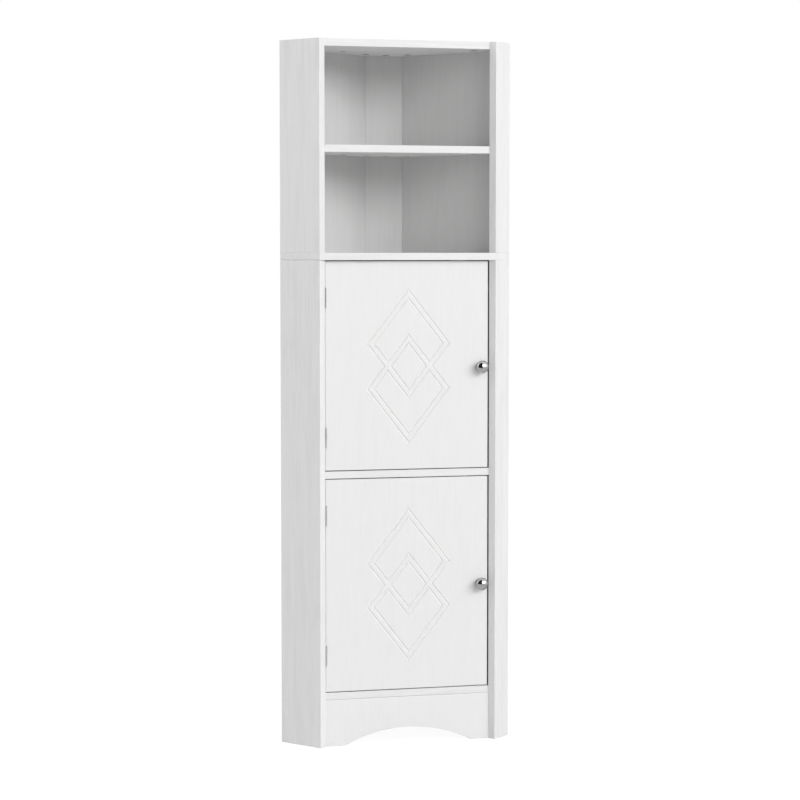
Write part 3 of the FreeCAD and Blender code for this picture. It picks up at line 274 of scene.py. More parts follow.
def remap(tree, value, low, high, to_low=0.0, to_high=1.0):
    """Stretch a value's range, clamped at both ends."""
    inputs = {
        "Value": value, "From Min": low, "From Max": high, "To Min": to_low, "To Max": to_high,
    }
    return add_node(tree, "ShaderNodeMapRange", inputs).outputs["Result"]


def combine(tree, operation, first, second):
    """Sum, product or the like of two values."""
    made = add_node(tree, "ShaderNodeMath", {0: first, 1: second}, operation=operation)
    return made.outputs["Value"]


def foil_grain_group():
    """Printed and embossed grain of the foil, at a place that is stretched along the grain."""
    tree, start, end = new_group(
        "Foil grain", {"Streaks": 0.5, "Clouds": 0.5}, ("Shade", "Relief", "Polish")
    )
    place = start["Vector"]
    streak = noise(tree, place, scale=1.0, detail=6, roughness=0.6, distortion=0.5)
    cloud = noise(tree, place, scale=0.2, detail=3, roughness=0.55, distortion=1.2)
    pore = noise(tree, place, scale=3.6, detail=2, roughness=0.5, distortion=0.2)
    streak_mask = remap(tree, streak, low=0.46, high=0.72)
    cloud_mask = remap(tree, cloud, low=0.42, high=0.68)
    pore_mask = remap(tree, pore, low=0.6, high=0.7)
    streaks = combine(tree, "MULTIPLY", streak_mask, start["Streaks"])
    clouds = combine(tree, "MULTIPLY", cloud_mask, start["Clouds"])
    unevenness = combine(tree, "ADD", streak, cloud)
    polish = remap(tree, unevenness, low=0.7, high=1.3, to_low=0.36, to_high=0.5)
    tree.links.new(combine(tree, "ADD", streaks, clouds), end["Shade"])
    tree.links.new(combine(tree, "SUBTRACT", streak, pore_mask), end["Relief"])
    tree.links.new(polish, end["Polish"])
    return tree


def metal_group():
    """Uneven plating: soft patches, and fine marks left by handling and tumbling."""
    tree, start, end = new_group("Metal surface", {"Scale": 400.0}, ("Patches", "Marks"))
    place = start["Vector"]
    fine = start["Scale"]
    coarse = combine(tree, "MULTIPLY", fine, PATCH_SHARE)
    patches = noise(tree, place, scale=coarse, detail=3)
    marks = noise(tree, place, scale=fine, detail=5, roughness=0.7, distortion=1.5)
    tree.links.new(remap(tree, patches, low=0.35, high=0.65), end["Patches"])
    tree.links.new(remap(tree, marks, low=0.4, high=0.7), end["Marks"])
    return tree


def shared_group(maker):
    """The group that a function makes, made the first time that a material asks for it."""
    if maker.__name__ not in shared_group.made:
        shared_group.made[maker.__name__] = maker()
    return shared_group.made[maker.__name__]


shared_group.made = {}


def place_group(tree, maker, inputs):
    """Outputs of a shared group that is placed in a material with its own values."""
    return add_node(tree, "ShaderNodeGroup", inputs, node_tree=shared_group(maker)).outputs


def new_material(name, **constants):
    """Material with one shader whose unchanging sockets are set. Gives it, its tree and shader."""
    material = bpy.data.materials.new(name)
    material.use_nodes = True
    tree = material.node_tree
    tree.nodes.clear()
    shader = add_node(tree, "ShaderNodeBsdfPrincipled")
    for key, value in constants.items():
        shader.inputs[key.replace("_", " ").title().replace("Ior", "IOR")].default_value = value
    add_node(tree, "ShaderNodeOutputMaterial", {"Surface": shader.outputs["BSDF"]})
    return material, tree, shader


def own_place(tree, scale=(1, 1, 1)):
    """Object coordinates, stretched."""
    place = add_node(tree, "ShaderNodeTexCoord").outputs["Object"]
    return add_node(tree, "ShaderNodeMapping", {"Vector": place, "Scale": scale}).outputs["Vector"]


def mix_colours(tree, share, first, second):
    """Blend of two colours."""
    mix = add_node(tree, "ShaderNodeMix", data_type="RGBA", clamp_factor=False)
    # The colour pair has the same names as the number pair, further down the list
    for socket, value in zip([item for item in mix.inputs if item.type == "RGBA"], (first, second)):
        socket.default_value = (*value, 1)
    tree.links.new(share, mix.inputs["Factor"])
    return next(item for item in mix.outputs if item.type == "RGBA")


def darker(tone, share):
    """A colour at a share of its strength."""
    return tuple(share * part for part in tone)


def set_bump(tree, shader, relief, strength, distance):
    """Feed a relief to a shader's normal."""
    bump = add_node(
        tree, "ShaderNodeBump", {"Height": relief, "Strength": strength, "Distance": distance}
    )
    tree.links.new(bump.outputs["Normal"], shader.inputs["Normal"])


def foil(name, tones, stretch, streaks, clouds):
    """Foil with a faint grain between two tones. Stretch is its frequency along each axis."""
    material, tree, shader = new_material(name, specular_ior_level=0.4)
    inputs = {"Vector": own_place(tree, stretch), "Streaks": streaks, "Clouds": clouds}
    grain = place_group(tree, foil_grain_group, inputs)
    tree.links.new(mix_colours(tree, grain["Shade"], *tones), shader.inputs["Base Color"])
    tree.links.new(grain["Polish"], shader.inputs["Roughness"])
    set_bump(tree, shader, grain["Relief"], strength=0.04, distance=FOIL_RELIEF)
    return material


def metal(name, tone, scale, rough, spread, bump=0.0):
    """Metal with uneven plating. Spread is what the marks add to the least roughness."""
    rim = (*darker(tone, RIM_SHARE), 1)
    material, tree, shader = new_material(name, metallic=1.0, specular_tint=rim)
    surface = place_group(tree, metal_group, {"Vector": own_place(tree), "Scale": scale})
    plating = mix_colours(tree, surface["Patches"], tone, darker(tone, DULL_SHARE))
    roughness = remap(tree, surface["Marks"], 0, 1, to_low=rough, to_high=rough + spread)
    tree.links.new(plating, shader.inputs["Base Color"])
    tree.links.new(roughness, shader.inputs["Roughness"])
    if bump:
        set_bump(tree, shader, surface["Marks"], strength=bump, distance=METAL_RELIEF)
    return material


def beech():
    """Bare turned beech: short darker flecks."""
    tone = bpy.context.scene.cabinet_colours.beech
    material, tree, shader = new_material("Beech")
    place = own_place(tree, (FLECK_SCALE, FLECK_SCALE, FLECK_SCALE))
    fleck = noise(tree, place, scale=1.0, detail=4, roughness=0.6)
    mask = remap(tree, fleck, low=0.45, high=0.7)
    flecked = mix_colours(tree, mask, tone, darker(tone, FLECK_SHARE))
    roughness = remap(tree, fleck, low=0.3, high=0.7, to_low=0.55, to_high=0.75)
    tree.links.new(flecked, shader.inputs["Base Color"])
    tree.links.new(roughness, shader.inputs["Roughness"])
    set_bump(tree, shader, fleck, strength=0.2, distance=BEECH_RELIEF)
    return material


def moulded(name, tone, scale, rough):
    """Moulded or pressed matter with a fine even texture."""
    material, tree, shader = new_material(name)
    speck = noise(tree, own_place(tree), scale, detail=3)
    mask = remap(tree, speck, low=0.4, high=0.6)
    specked = mix_colours(tree, mask, tone, darker(tone, SPECK_SHARE))
    roughest = rough + SPECK_ROUGHNESS
    roughness = remap(tree, speck, low=0.3, high=0.7, to_low=rough, to_high=roughest)
    tree.links.new(specked, shader.inputs["Base Color"])
    tree.links.new(roughness, shader.inputs["Roughness"])
    set_bump(tree, shader, speck, strength=0.1, distance=MOULDED_RELIEF)
    return material


def make_finish(name):
    """Make one of the cabinet's finishes."""
    tones = bpy.context.scene.cabinet_colours
    upright = (GRAIN_ACROSS, GRAIN_ACROSS, GRAIN_ALONG)
    level = (GRAIN_ALONG, GRAIN_ACROSS, GRAIN_ACROSS)
    white = (tones.foil_light, tones.foil_streak)
    painted_shade_tones = (tones.back_painted_shade, tones.back_painted_shade_streaks)
    makers = {
        "upright_foil": lambda: foil("Upright foil", white, upright, streaks=0.3, clouds=0.6),
        # Painted shade: the back panels get a greyer copy of the white foil so that the bays look
        # shadowed.
        "painted_shade_back_foil": lambda: foil("Back foil", painted_shade_tones, upright, streaks=0.2, clouds=0.4),
        # The level foil's cloud share is far above the doors' front foil. It is grain, and it also
        # darkens the boards' edges a little as painted shade.
        "level_foil": lambda: foil("Level foil", white, level, streaks=0.3, clouds=0.6),
        "front_foil": lambda: foil("Front foil", white, upright, streaks=0.3, clouds=0.14),
        "chrome": lambda: metal(
            "Polished chrome", tones.chrome, scale=300.0, rough=0.06, spread=0.06
        ),
        "steel": lambda: metal(
            "Plated steel", tones.steel, scale=500.0, rough=0.28, spread=0.18, bump=0.05
        ),
        "zinc": lambda: metal(
            "Cast zinc", tones.zinc, scale=700.0, rough=0.45, spread=0.2, bump=0.2
        ),
        "beech": beech,
        "plastic": lambda: moulded("Catch plastic", tones.plastic, scale=1500.0, rough=0.42),
        "ferrite": lambda: moulded("Ferrite", tones.ferrite, scale=2500.0, rough=0.55),
    }
    return makers[name]()


def finish_of(name):
    """One finish, made the first time that a piece asks for it."""
    if name not in finish_of.made:
        finish_of.made[name] = make_finish(name)
    return finish_of.made[name]


finish_of.made = {}


# Meshes


def new_piece(name, mesh, finish, nodes):
    """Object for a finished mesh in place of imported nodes, which share a body and a slot."""
    piece = bpy.data.objects.new(name, mesh)
    bpy.context.scene.collection.objects.link(piece)
    mesh.materials.clear()
    mesh.materials.append(finish_of(finish))
    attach(piece, BODY_OF[nodes[0]])
    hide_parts(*nodes)
    return piece


def dress_node(node, finish):
    """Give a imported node, whose shape is right as it is, a better material."""
    slots = frame["nodes"][node].material_slots
    for slot in slots:
        slot.material = finish_of(finish)
    if not slots:
        frame["nodes"][node].data.materials.append(finish_of(finish))


def welded(node):
    """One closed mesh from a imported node's loose triangles, with flat areas joined."""
    shape = bmesh.new()
    shape.from_mesh(frame["nodes"][node].data)
    bmesh.ops.remove_doubles(shape, verts=shape.verts, dist=WELD_DISTANCE)
    bmesh.ops.dissolve_limit(shape, angle_limit=FLAT_ANGLE, verts=shape.verts, edges=shape.edges)
    return shape


def outer_edges(shape):
    """Sharp outward edges between two large faces, so not the rims of drilled holes."""
    return [
        edge for edge in shape.edges
        if len(edge.link_faces) == 2
        and edge.is_convex
        and edge.calc_face_angle() > CORNER_ANGLE
        and min(face.calc_area() for face in edge.link_faces) > SMALL_FACE
    ]


def shaded_mesh(name, shape, crease):
    """Mesh with soft bends, hard creases from an angle on, and flat faces that stay flat."""
    mesh = bpy.data.meshes.new(name)
    shape.to_mesh(mesh)
    shape.free()
    mesh.shade_smooth()
    mesh.set_sharp_from_angle(angle=crease)
    carrier = bpy.data.objects.new(name + "_carrier", mesh)
    bpy.context.scene.collection.objects.link(carrier)
    normals = carrier.modifiers.new("Flat faces", "WEIGHTED_NORMAL")
    normals.keep_sharp = True
    return settle(carrier)


def settle(carrier):
    """Plain mesh from an object with modifiers, which is then removed."""
    graph = bpy.context.evaluated_depsgraph_get()
    mesh = bpy.data.meshes.new_from_object(
        carrier.evaluated_get(graph), preserve_all_data_layers=True, depsgraph=graph
    )
    old = carrier.data
    carrier.modifiers.clear()
    bpy.data.objects.remove(carrier)
    bpy.data.meshes.remove(old)
    return mesh


def round_off(shape, edges, radius):
    """Round edges of a shape."""
    bmesh.ops.bevel(
        shape, geom=edges, offset=radius, offset_type="OFFSET", affect="EDGES",
        segments=ROUND_STEPS, profile=0.5, clamp_overlap=False,
    )


def rounded_piece(node, radius, finish, on_joint=None, crease=CREASE_ANGLE):
    """A board or panel with its outer edges rounded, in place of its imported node.

    On_joint picks the edges along a joint that shows, which are rounded more.
    """
    shape = welded(node)
    if on_joint:
        joint_edges = [edge for edge in outer_edges(shape) if on_joint(edge)]
        round_off(shape, joint_edges, bpy.context.scene.cabinet_sizes.joint_round)
    round_off(shape, outer_edges(shape), radius)
    return new_piece(f"{node}_faced", shaded_mesh(node, shape, crease), finish, [node])


def at_level(edge, height):
    """Whether an edge lies at a height."""
    return all(abs(vert.co.z - height) < SAME_PLACE for vert in edge.verts)


def on_left_joint(edge):
    """Whether an edge lies on the cabinet's left face, level with the middle board's underside."""
    face_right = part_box("lower_left_side")[1].x
    level = at_level(edge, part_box("middle_board")[0].z)
    return level and all(vert.co.x < face_right for vert in edge.verts)


def on_skirting_top(edge):
    """Whether an edge lies level with the skirting's top, which is the bottom board's underside."""
    return at_level(edge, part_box("skirting_board")[1].z)


def on_skirting_joint(edge):
    """Whether an edge of the skirting lies along its top or its ends."""
    along = edge.verts[0].co - edge.verts[1].co
    return on_skirting_top(edge) or along.xy.length < SAME_PLACE


def lathe(points, place):
    """Closed turned shape, from points of radius and height, pole to pole, about place's Z."""
    shape = bmesh.new()
    rings = []
    for radius, height in points:
        turns = LATHE_STEPS if radius else 1
        angles = [math.tau * step / turns for step in range(turns)]
        ring = [(radius * math.cos(angle), radius * math.sin(angle), height) for angle in angles]
        rings.append([shape.verts.new(place @ Vector(point)) for point in ring])
    for low, high in zip(rings, rings[1:]):
        for step in range(LATHE_STEPS):
            corners = [ring[index % len(ring)] for ring, index in (
                (low, step), (low, step + 1), (high, step + 1), (high, step)
            )]
            shape.faces.new(list(dict.fromkeys(corners)))
    bmesh.ops.recalc_face_normals(shape, faces=shape.faces)
    return shape


def arc(middle, radii, first, last, steps):
    """Points on an elliptic arc, as radius and height, with angles in degrees."""
    angles = [math.radians(first + (last - first) * step / steps) for step in range(steps + 1)]
    return [
        (middle[0] + radii[0] * math.cos(angle), middle[1] + radii[1] * math.sin(angle))
        for angle in angles
    ]


def knob_profile(radius, reach, sizes):
    """Half section of a knob from its back to the front of its head."""
    rim = sizes.rose_round
    shoulder = sizes.rose_radius - rim
    head_middle = reach - sizes.head_depth / 2
    start = -math.degrees(math.acos(sizes.neck_radius / radius))
    neck_top = head_middle + sizes.head_depth / 2 * math.sin(math.radians(start))
    points = [(0, 0), (sizes.rose_radius, 0)]
    points += arc((shoulder, sizes.rose_height - rim), (rim, rim), 0, 90, FOOT_STEPS)
    cove = (shoulder - rim - sizes.neck_radius, neck_top - sizes.rose_height)
    points += arc((sizes.neck_radius + cove[0], neck_top), cove, 270, 180, NECK_STEPS)[:-1]
    points += arc((0, head_middle), (radius, sizes.head_depth / 2), start, 90, HEAD_STEPS)[:-1]
    return points + [(0, reach)]


def solids(node):
    """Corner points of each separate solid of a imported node."""
    shape = welded(node)
    waiting = set(shape.verts)
    found = []
    while waiting:
        front = [waiting.pop()]
        members = []
        while front:
            vert = front.pop()
            members.append(vert.co.copy())
            near = {edge.other_vert(vert) for edge in vert.link_edges} & waiting
            waiting -= near
            front += near
        found.append(np.array(members))
    shape.free()
    return found


def screw_fit(points):
    """Middle of a screw's face, the way it looks, its head's radius and its length."""
    middle = points.mean(0)
    axis = np.linalg.eigh(np.cov((points - middle).T))[1][:, -1]
    along = (points - middle) @ axis
    out = np.linalg.norm(points - middle - np.outer(along, axis), axis=1)
    centre = (along.max() + along.min()) / 2
    if along[out.argmax()] < centre:
        axis = -axis
        along = -along
    return middle + axis * along.max(), axis, out.max(), np.ptp(along)


# Screws


SCREW_INPUTS = ("Face Radius", "Under Radius", "Head Height", "Shank Radius", "Length", "Point")
RECESS_INPUTS = ("Recess Width", "Recess Length", "Recess Depth")


def screw_tree():
    """Geometry nodes that put a cross-recessed screw on each point, along the point's way."""
    tree = bpy.data.node_groups.new("Screws", "GeometryNodeTree")
    tree.is_modifier = True
    sockets = tree.interface
    sockets.new_socket("Places", in_out="INPUT", socket_type="NodeSocketGeometry")
    for name in SCREW_INPUTS + RECESS_INPUTS:
        sockets.new_socket(name, in_out="INPUT", socket_type="NodeSocketFloat")
    sockets.new_socket("Seed", in_out="INPUT", socket_type="NodeSocketInt")
    sockets.new_socket("Material", in_out="INPUT", socket_type="NodeSocketMaterial")
    sockets.new_socket("Screws", in_out="OUTPUT", socket_type="NodeSocketGeometry")
    start = add_node(tree, "NodeGroupInput").outputs

    def turned(radius_top, radius_bottom, depth, foot):
        """Round length of a screw that starts at a height below its face."""
        inputs = {
            "Vertices": SCREW_STEPS, "Depth": depth,
            "Radius Top": radius_top, "Radius Bottom": radius_bottom,
        }
        cone = add_node(tree, "GeometryNodeMeshCone", inputs).outputs["Mesh"]
        shift = add_node(tree, "ShaderNodeCombineXYZ", {"Z": foot}).outputs["Vector"]
        return add_node(tree, "GeometryNodeTransform", {0: cone, "Translation": shift}).outputs[0]

    def less(first, second):
        """First value less the second."""
        return combine(tree, "SUBTRACT", first, second)

    bottom = less(0.0, start["Length"])
    shank_foot = combine(tree, "ADD", bottom, start["Point"])
    shank_length = less(less(start["Length"], start["Point"]), start["Head Height"])
    head_foot = less(0.0, start["Head Height"])
    head = turned(start["Face Radius"], start["Under Radius"], start["Head Height"], head_foot)
    shank = turned(start["Shank Radius"], start["Shank Radius"], shank_length, shank_foot)
    point = turned(start["Shank Radius"], 0.0, start["Point"], bottom)
    deep = combine(tree, "MULTIPLY", start["Recess Depth"], 2.0)
    bars = []
    for wide, high in (("Recess Length", "Recess Width"), ("Recess Width", "Recess Length")):
        edges = {"X": start[wide], "Y": start[high], "Z": deep}
        size = add_node(tree, "ShaderNodeCombineXYZ", edges).outputs["Vector"]
        bars.append(add_node(tree, "GeometryNodeMeshCube", {"Size": size}).outputs["Mesh"])
    cut_head = add_node(tree, "GeometryNodeMeshBoolean", {"Mesh 1": head}, operation="DIFFERENCE")
    for bar in bars:
        tree.links.new(bar, cut_head.inputs["Mesh 2"])
    screw = add_node(tree, "GeometryNodeJoinGeometry")
    for part in (cut_head.outputs["Mesh"], shank, point):
        tree.links.new(part, screw.inputs["Geometry"])
    way = add_node(
        tree, "GeometryNodeInputNamedAttribute", {"Name": "way"}, data_type="FLOAT_VECTOR"
    )
    aligned = add_node(
        tree, "FunctionNodeAlignRotationToVector", {"Vector": way.outputs["Attribute"]}, axis="Z"
    )
    # Sockets 2 and 3 are the least and the most of a random number
    chance = add_node(
        tree, "FunctionNodeRandomValue", {2: 0.0, 3: math.tau, "Seed": start["Seed"]},
        data_type="FLOAT",
    )
    spin = add_node(tree, "ShaderNodeCombineXYZ", {"Z": chance.outputs[1]}).outputs["Vector"]
    turned_way = add_node(
        tree, "FunctionNodeRotateRotation",
        {"Rotation": aligned.outputs["Rotation"], "Rotate By": spin}, rotation_space="LOCAL",
    )
    copies = add_node(tree, "GeometryNodeInstanceOnPoints", {
        "Points": start["Places"], "Instance": screw.outputs["Geometry"],
        "Rotation": turned_way.outputs["Rotation"],
    })
    solid = add_node(
        tree, "GeometryNodeRealizeInstances", {"Geometry": copies.outputs["Instances"]}
    )
    faced = add_node(tree, "GeometryNodeSetMaterial", {
        "Geometry": solid.outputs["Geometry"], "Material": start["Material"],
    })
    add_node(tree, "NodeGroupOutput", {"Screws": faced.outputs["Geometry"]})
    return tree


def place_screws(tree, name, nodes, sizes):
    """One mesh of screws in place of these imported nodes, which share a body.

    Sizes is a function of the head's radius and the length, and gives the tree's inputs.
    """
    fits = [screw_fit(points) for node in nodes for points in solids(node)]
    head = max(fit[2] for fit in fits)
    reach = max(fit[3] for fit in fits)
    mesh = bpy.data.meshes.new(name)
    mesh.from_pydata([fit[0] for fit in fits], [], [])
    ways = mesh.attributes.new("way", "FLOAT_VECTOR", "POINT")
    ways.data.foreach_set("vector", np.array([fit[1] for fit in fits], np.float32).ravel())
    carrier = bpy.data.objects.new(name + "_carrier", mesh)
    bpy.context.scene.collection.objects.link(carrier)
    modifier = carrier.modifiers.new("Screws", "NODES")
    modifier.node_group = tree
    values = sizes(head, reach)
    values["Seed"] = len(name)
    values["Material"] = finish_of("steel")
    for socket in tree.interface.items_tree:
        if socket.in_out == "INPUT" and socket.name in values:
            modifier[socket.identifier] = values[socket.name]
    carrier.data.update()
    made = settle(carrier)
    made.shade_smooth()
    made.set_sharp_from_angle(angle=CREASE_ANGLE)
    return new_piece(name, made, "steel", nodes)


def recess(head):
    """Cross recess for a head of this radius."""
    sizes = bpy.context.scene.cabinet_sizes
    return {
        "Recess Width": sizes.recess_width, "Recess Length": head,
        "Recess Depth": sizes.recess_depth,
    }


def wood_screw_sizes(head, reach):
    """Countersunk wood screw."""
    sizes = bpy.context.scene.cabinet_sizes
    return {
        "Face Radius": head, "Under Radius": sizes.screw_shank, "Head Height": sizes.screw_sink,
        "Shank Radius": sizes.screw_shank, "Length": reach, "Point": sizes.screw_tip,
        **recess(head * WOOD_RECESS_SHARE),
        "Recess Depth": sizes.screw_sink * WOOD_RECESS_DEPTH_SHARE,
    }


def knob_screw_sizes(head, reach):
    """Round-headed machine screw with a short blunt end."""
    sizes = bpy.context.scene.cabinet_sizes
    return {
        "Face Radius": head * BOLT_FACE_SHARE, "Under Radius": head,
        "Head Height": sizes.bolt_head, "Shank Radius": sizes.bolt_shank,
        "Length": reach, "Point": sizes.bolt_shank * BOLT_POINT_SHARE,
        **recess(head),
    }


# Operators


class CABINET_OT_uprights(bpy.types.Operator):
    """Round and face the side and back panels"""

    bl_idname = "cabinet.uprights"
    bl_label = "Side and back panels"
    bl_options = {"REGISTER", "UNDO"}

    def execute(self, context):
        sizes = context.scene.cabinet_sizes
        for node in SIDES:
            rounded_piece(node, sizes.board_round, "upright_foil", on_left_joint)
        for node in BACKS:
            # The back panels take the foil with painted shade.
            rounded_piece(node, sizes.board_round, "painted_shade_back_foil")
        return {"FINISHED"}


class CABINET_OT_boards(bpy.types.Operator):
    """Round and face the level boards, the inner shelves and the skirting"""

    bl_idname = "cabinet.boards"
    bl_label = "Boards, shelves and skirting"
    bl_options = {"REGISTER", "UNDO"}

    def execute(self, context):
        sizes = context.scene.cabinet_sizes
        joints = {"middle_board": on_left_joint, "bottom_board": on_skirting_top}
        for node in LEVEL_BOARDS:
            rounded_piece(node, sizes.board_round, "level_foil", joints.get(node))
        rounded_piece("skirting_board", sizes.board_round, "front_foil", on_skirting_joint)
        return {"FINISHED"}


class CABINET_OT_doors(bpy.types.Operator):
    """Round and face the doors with their grooved diamonds"""

    bl_idname = "cabinet.doors"
    bl_label = "Doors"
    bl_options = {"REGISTER", "UNDO"}

    def execute(self, context):
        sizes = context.scene.cabinet_sizes
        for door in DOORS:
            rounded_piece(f"{door}_door_panel", sizes.door_round, "front_foil", crease=FLAT_ANGLE)
        return {"FINISHED"}


class CABINET_OT_knobs(bpy.types.Operator):
    """Turn the knobs"""

    bl_idname = "cabinet.knobs"
    bl_label = "Knobs"
    bl_options = {"REGISTER", "UNDO"}

    def execute(self, context):
        sizes = context.scene.cabinet_sizes
        for door in DOORS:
            node = f"{door}_knob"
            low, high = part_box(node)
            middle = (low + high) / 2
            facing_front = Matrix.Rotation(math.pi / 2, 4, "X")
            place = Matrix.Translation((middle.x, high.y, middle.z)) @ facing_front
            profile = knob_profile((high.z - low.z) / 2, high.y - low.y, sizes)
            mesh = bpy.data.meshes.new(node)
            shape = lathe(profile, place)
            shape.to_mesh(mesh)
            shape.free()
            mesh.shade_smooth()
            mesh.set_sharp_from_angle(angle=CORNER_ANGLE)
            new_piece(f"{node}_turned", mesh, "chrome", [node])
        return {"FINISHED"}


class CABINET_OT_hinges(bpy.types.Operator):
    """Face the hinges' leaves and pins"""

    bl_idname = "cabinet.hinges"
    bl_label = "Hinges"
    bl_options = {"REGISTER", "UNDO"}

    def execute(self, context):
        leaves = [f"{door}_hinge_door_leaves" for door in DOORS]
        for node in ["hinge_frame_leaves", "hinge_pins", *leaves]:
            dress_node(node, "steel")
        return {"FINISHED"}


class CABINET_OT_screws(bpy.types.Operator):
    """Set cross-recessed screws in hinges, catches, strike plates and knobs"""

    bl_idname = "cabinet.screws"
    bl_label = "Screws"
    bl_options = {"REGISTER", "UNDO"}

    def execute(self, context):
        tree = screw_tree()
        nodes = ["hinge_frame_screws", "catch_screws"]
        place_screws(tree, "carcass_screws", nodes, wood_screw_sizes)
        for door in DOORS:
            nodes = [f"{door}_hinge_door_screws", f"{door}_strike_screws"]
            place_screws(tree, f"{door}_door_screws", nodes, wood_screw_sizes)
            nodes = [f"{door}_knob_screw"]
            place_screws(tree, f"{door}_knob_machine_screw", nodes, knob_screw_sizes)
        return {"FINISHED"}


class CABINET_OT_joinery(bpy.types.Operator):
    """Face cam locks, bolts, dowels and shelf pins"""

    bl_idname = "cabinet.joinery"
    bl_label = "Joinery"
    bl_options = {"REGISTER", "UNDO"}

    def execute(self, context):
        finishes = {
            "cam_locks": "zinc", "cam_bolts": "steel", "shelf_pins": "steel",
            "side_dowels": "beech", "stack_dowels": "beech", "skirting_dowels": "beech",
        }
        for node, finish in finishes.items():
            dress_node(node, finish)
        return {"FINISHED"}


class CABINET_OT_catches(bpy.types.Operator):
    """Face the magnetic catches and their strike plates"""

    bl_idname = "cabinet.catches"
    bl_label = "Magnetic catches"
    bl_options = {"REGISTER", "UNDO"}

    def execute(self, context):
        dress_node("catch_housings", "plastic")
        dress_node("catch_magnets", "ferrite")
        for door in DOORS:
            dress_node(f"{door}_strike_plate", "steel")
        return {"FINISHED"}


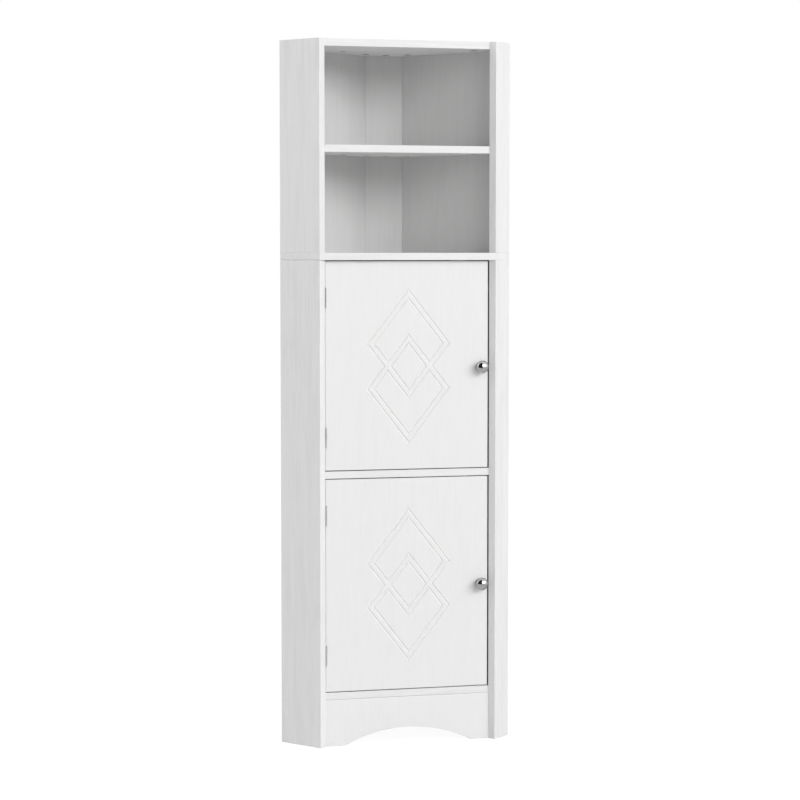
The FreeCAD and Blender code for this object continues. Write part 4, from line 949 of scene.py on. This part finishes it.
class CABINET_OT_stage(bpy.types.Operator):
    """Set the floor, the light and the camera"""

    bl_idname = "cabinet.stage"
    bl_label = "Stage"
    bl_options = {"REGISTER", "UNDO"}

    def execute(self, context):
        scene = context.scene
        stage = scene.cabinet_stage
        scene.view_settings.view_transform = "Standard"
        self.add_world(scene, stage)
        self.add_floor(scene, stage)
        self.add_card(scene, stage)
        self.add_lamp(scene, stage, "key")
        self.add_lamp(scene, stage, "fill")
        self.add_camera(scene, stage)
        return {"FINISHED"}

    def add_world(self, scene, stage):
        """Soft light, most of it from overhead, and a plain white sky to see and to mirror."""
        scene.world = bpy.data.worlds.new("Studio")
        scene.world.use_nodes = True
        tree = scene.world.node_tree
        tree.nodes.clear()
        way = add_node(tree, "ShaderNodeTexCoord").outputs["Generated"]
        rise = add_node(tree, "ShaderNodeSeparateXYZ", {"Vector": way}).outputs["Z"]
        light = add_node(tree, "ShaderNodeMapRange", {
            "Value": rise, "From Min": SKY_BAND[0], "From Max": SKY_BAND[1],
            "To Min": stage.low_sky, "To Max": stage.high_sky,
        }, interpolation_type="SMOOTHSTEP")
        path = add_node(tree, "ShaderNodeLightPath").outputs
        seen = combine(tree, "MAXIMUM", path["Is Camera Ray"], path["Is Glossy Ray"])
        soft, white = (
            add_node(tree, "ShaderNodeBackground", {"Color": WHITE, "Strength": strength})
            for strength in (light.outputs["Result"], 1)
        )
        choice = {0: seen, 1: soft.outputs["Background"], 2: white.outputs["Background"]}
        sky = add_node(tree, "ShaderNodeMixShader", choice)
        add_node(tree, "ShaderNodeOutputWorld", {"Surface": sky.outputs["Shader"]})

    def add_floor(self, scene, stage):
        """Pale floor that looks white but keeps the cabinet's shadow."""
        floor = self.add_sheet(scene, "floor", stage.floor_size, Matrix())
        material = bpy.data.materials.new("Pale floor")
        material.use_nodes = True
        tree = material.node_tree
        tree.nodes.clear()
        matt = add_node(tree, "ShaderNodeBsdfDiffuse", {"Color": (*stage.floor_grey, 1)})
        white = add_node(tree, "ShaderNodeEmission", {"Color": WHITE, "Strength": FLOOR_GLOW})
        path = add_node(tree, "ShaderNodeLightPath").outputs
        share = combine(tree, "MULTIPLY", path["Is Camera Ray"], stage.floor_white)
        blend = {0: share, 1: matt.outputs["BSDF"], 2: white.outputs["Emission"]}
        mixed = add_node(tree, "ShaderNodeMixShader", blend)
        add_node(tree, "ShaderNodeOutputMaterial", {"Surface": mixed.outputs["Shader"]})
        floor.data.materials.append(material)

    def add_card(self, scene, stage):
        """Dark card in front to the left, which only polished metal mirrors."""
        low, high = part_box("upper_knob")
        middle = (low + high) / 2
        rise = stage.card_size * CARD_RISE_SHARE
        place = Matrix.Translation((
            middle.x - stage.card_shift, middle.y - stage.card_distance, middle.z + rise
        ))
        upright = Matrix.Rotation(math.pi / 2, 4, "X")
        card = self.add_sheet(scene, "dark_card", stage.card_size, place @ upright)
        card.visible_camera = False
        card.visible_diffuse = False
        card.visible_shadow = False
        material, _, _ = new_material("Dark card", base_color=CARD_TONE, roughness=1)
        card.data.materials.append(material)

    def add_sheet(self, scene, name, size, place):
        """Flat square of the stage."""
        mesh = bpy.data.meshes.new(name)
        shape = bmesh.new()
        bmesh.ops.create_grid(shape, x_segments=1, y_segments=1, size=size / 2, matrix=place)
        shape.to_mesh(mesh)
        shape.free()
        sheet = bpy.data.objects.new(name, mesh)
        scene.collection.objects.link(sheet)
        return sheet

    def add_lamp(self, scene, stage, name):
        """Large soft lamp that looks at the cabinet's middle."""
        light = bpy.data.lights.new(name, "AREA")
        light.shape = "RECTANGLE"
        light.energy = getattr(stage, f"{name}_power")
        light.size = getattr(stage, f"{name}_width")
        light.size_y = getattr(stage, f"{name}_height")
        lamp = bpy.data.objects.new(name, light)
        scene.collection.objects.link(lamp)
        turned = getattr(stage, f"{name}_turn")
        rise = getattr(stage, f"{name}_rise")
        level = math.cos(rise)
        way = Vector((level * math.sin(turned), -level * math.cos(turned), math.sin(rise)))
        low, high = CAD_BOX
        lamp.location = (low + high) / 2 + way * stage.lamp_distance
        lamp.rotation_euler = way.to_track_quat("Z", "Y").to_euler()

    def add_camera(self, scene, stage):
        """Camera that looks at the cabinet from the left and a little from above."""
        lens = bpy.data.cameras.new("camera")
        lens.lens = stage.lens
        camera = bpy.data.objects.new("camera", lens)
        camera.location = stage.camera_place
        camera.rotation_euler = (math.pi / 2 - stage.camera_tilt, 0, -stage.camera_turn)
        scene.collection.objects.link(camera)
        scene.camera = camera


class CABINET_PT_panel(bpy.types.Panel):
    """Buttons for every group of pieces, with their sizes and colours"""

    bl_idname = "CABINET_PT_panel"
    bl_label = "Corner cabinet"
    bl_space_type = "VIEW_3D"
    bl_region_type = "UI"
    bl_category = "Cabinet"

    def draw(self, context):
        for operator in OPERATORS:
            self.layout.operator(operator.bl_idname)
        for group in GROUPS:
            values = getattr(context.scene, group)
            box = self.layout.box()
            for name in values.bl_rna.properties.keys():
                if name not in ("rna_type", "name"):
                    box.prop(values, name)


OPERATORS = (
    CABINET_OT_uprights, CABINET_OT_boards, CABINET_OT_doors, CABINET_OT_knobs, CABINET_OT_hinges,
    CABINET_OT_screws, CABINET_OT_joinery, CABINET_OT_catches, CABINET_OT_stage,
)
GROUPS = {
    "cabinet_sizes": CabinetSizes, "cabinet_colours": CabinetColours, "cabinet_stage": CabinetStage,
}


def register():
    for item in (*GROUPS.values(), *OPERATORS, CABINET_PT_panel):
        bpy.utils.register_class(item)
    for name, group in GROUPS.items():
        setattr(bpy.types.Scene, name, bpy.props.PointerProperty(type=group))


def unregister():
    for name in GROUPS:
        delattr(bpy.types.Scene, name)
    for item in reversed((*GROUPS.values(), *OPERATORS, CABINET_PT_panel)):
        bpy.utils.unregister_class(item)


def main():
    register()
    for operator in OPERATORS:
        area, action = operator.bl_idname.split(".")
        getattr(getattr(bpy.ops, area), action)()


if __name__ == "__main__":
    main()
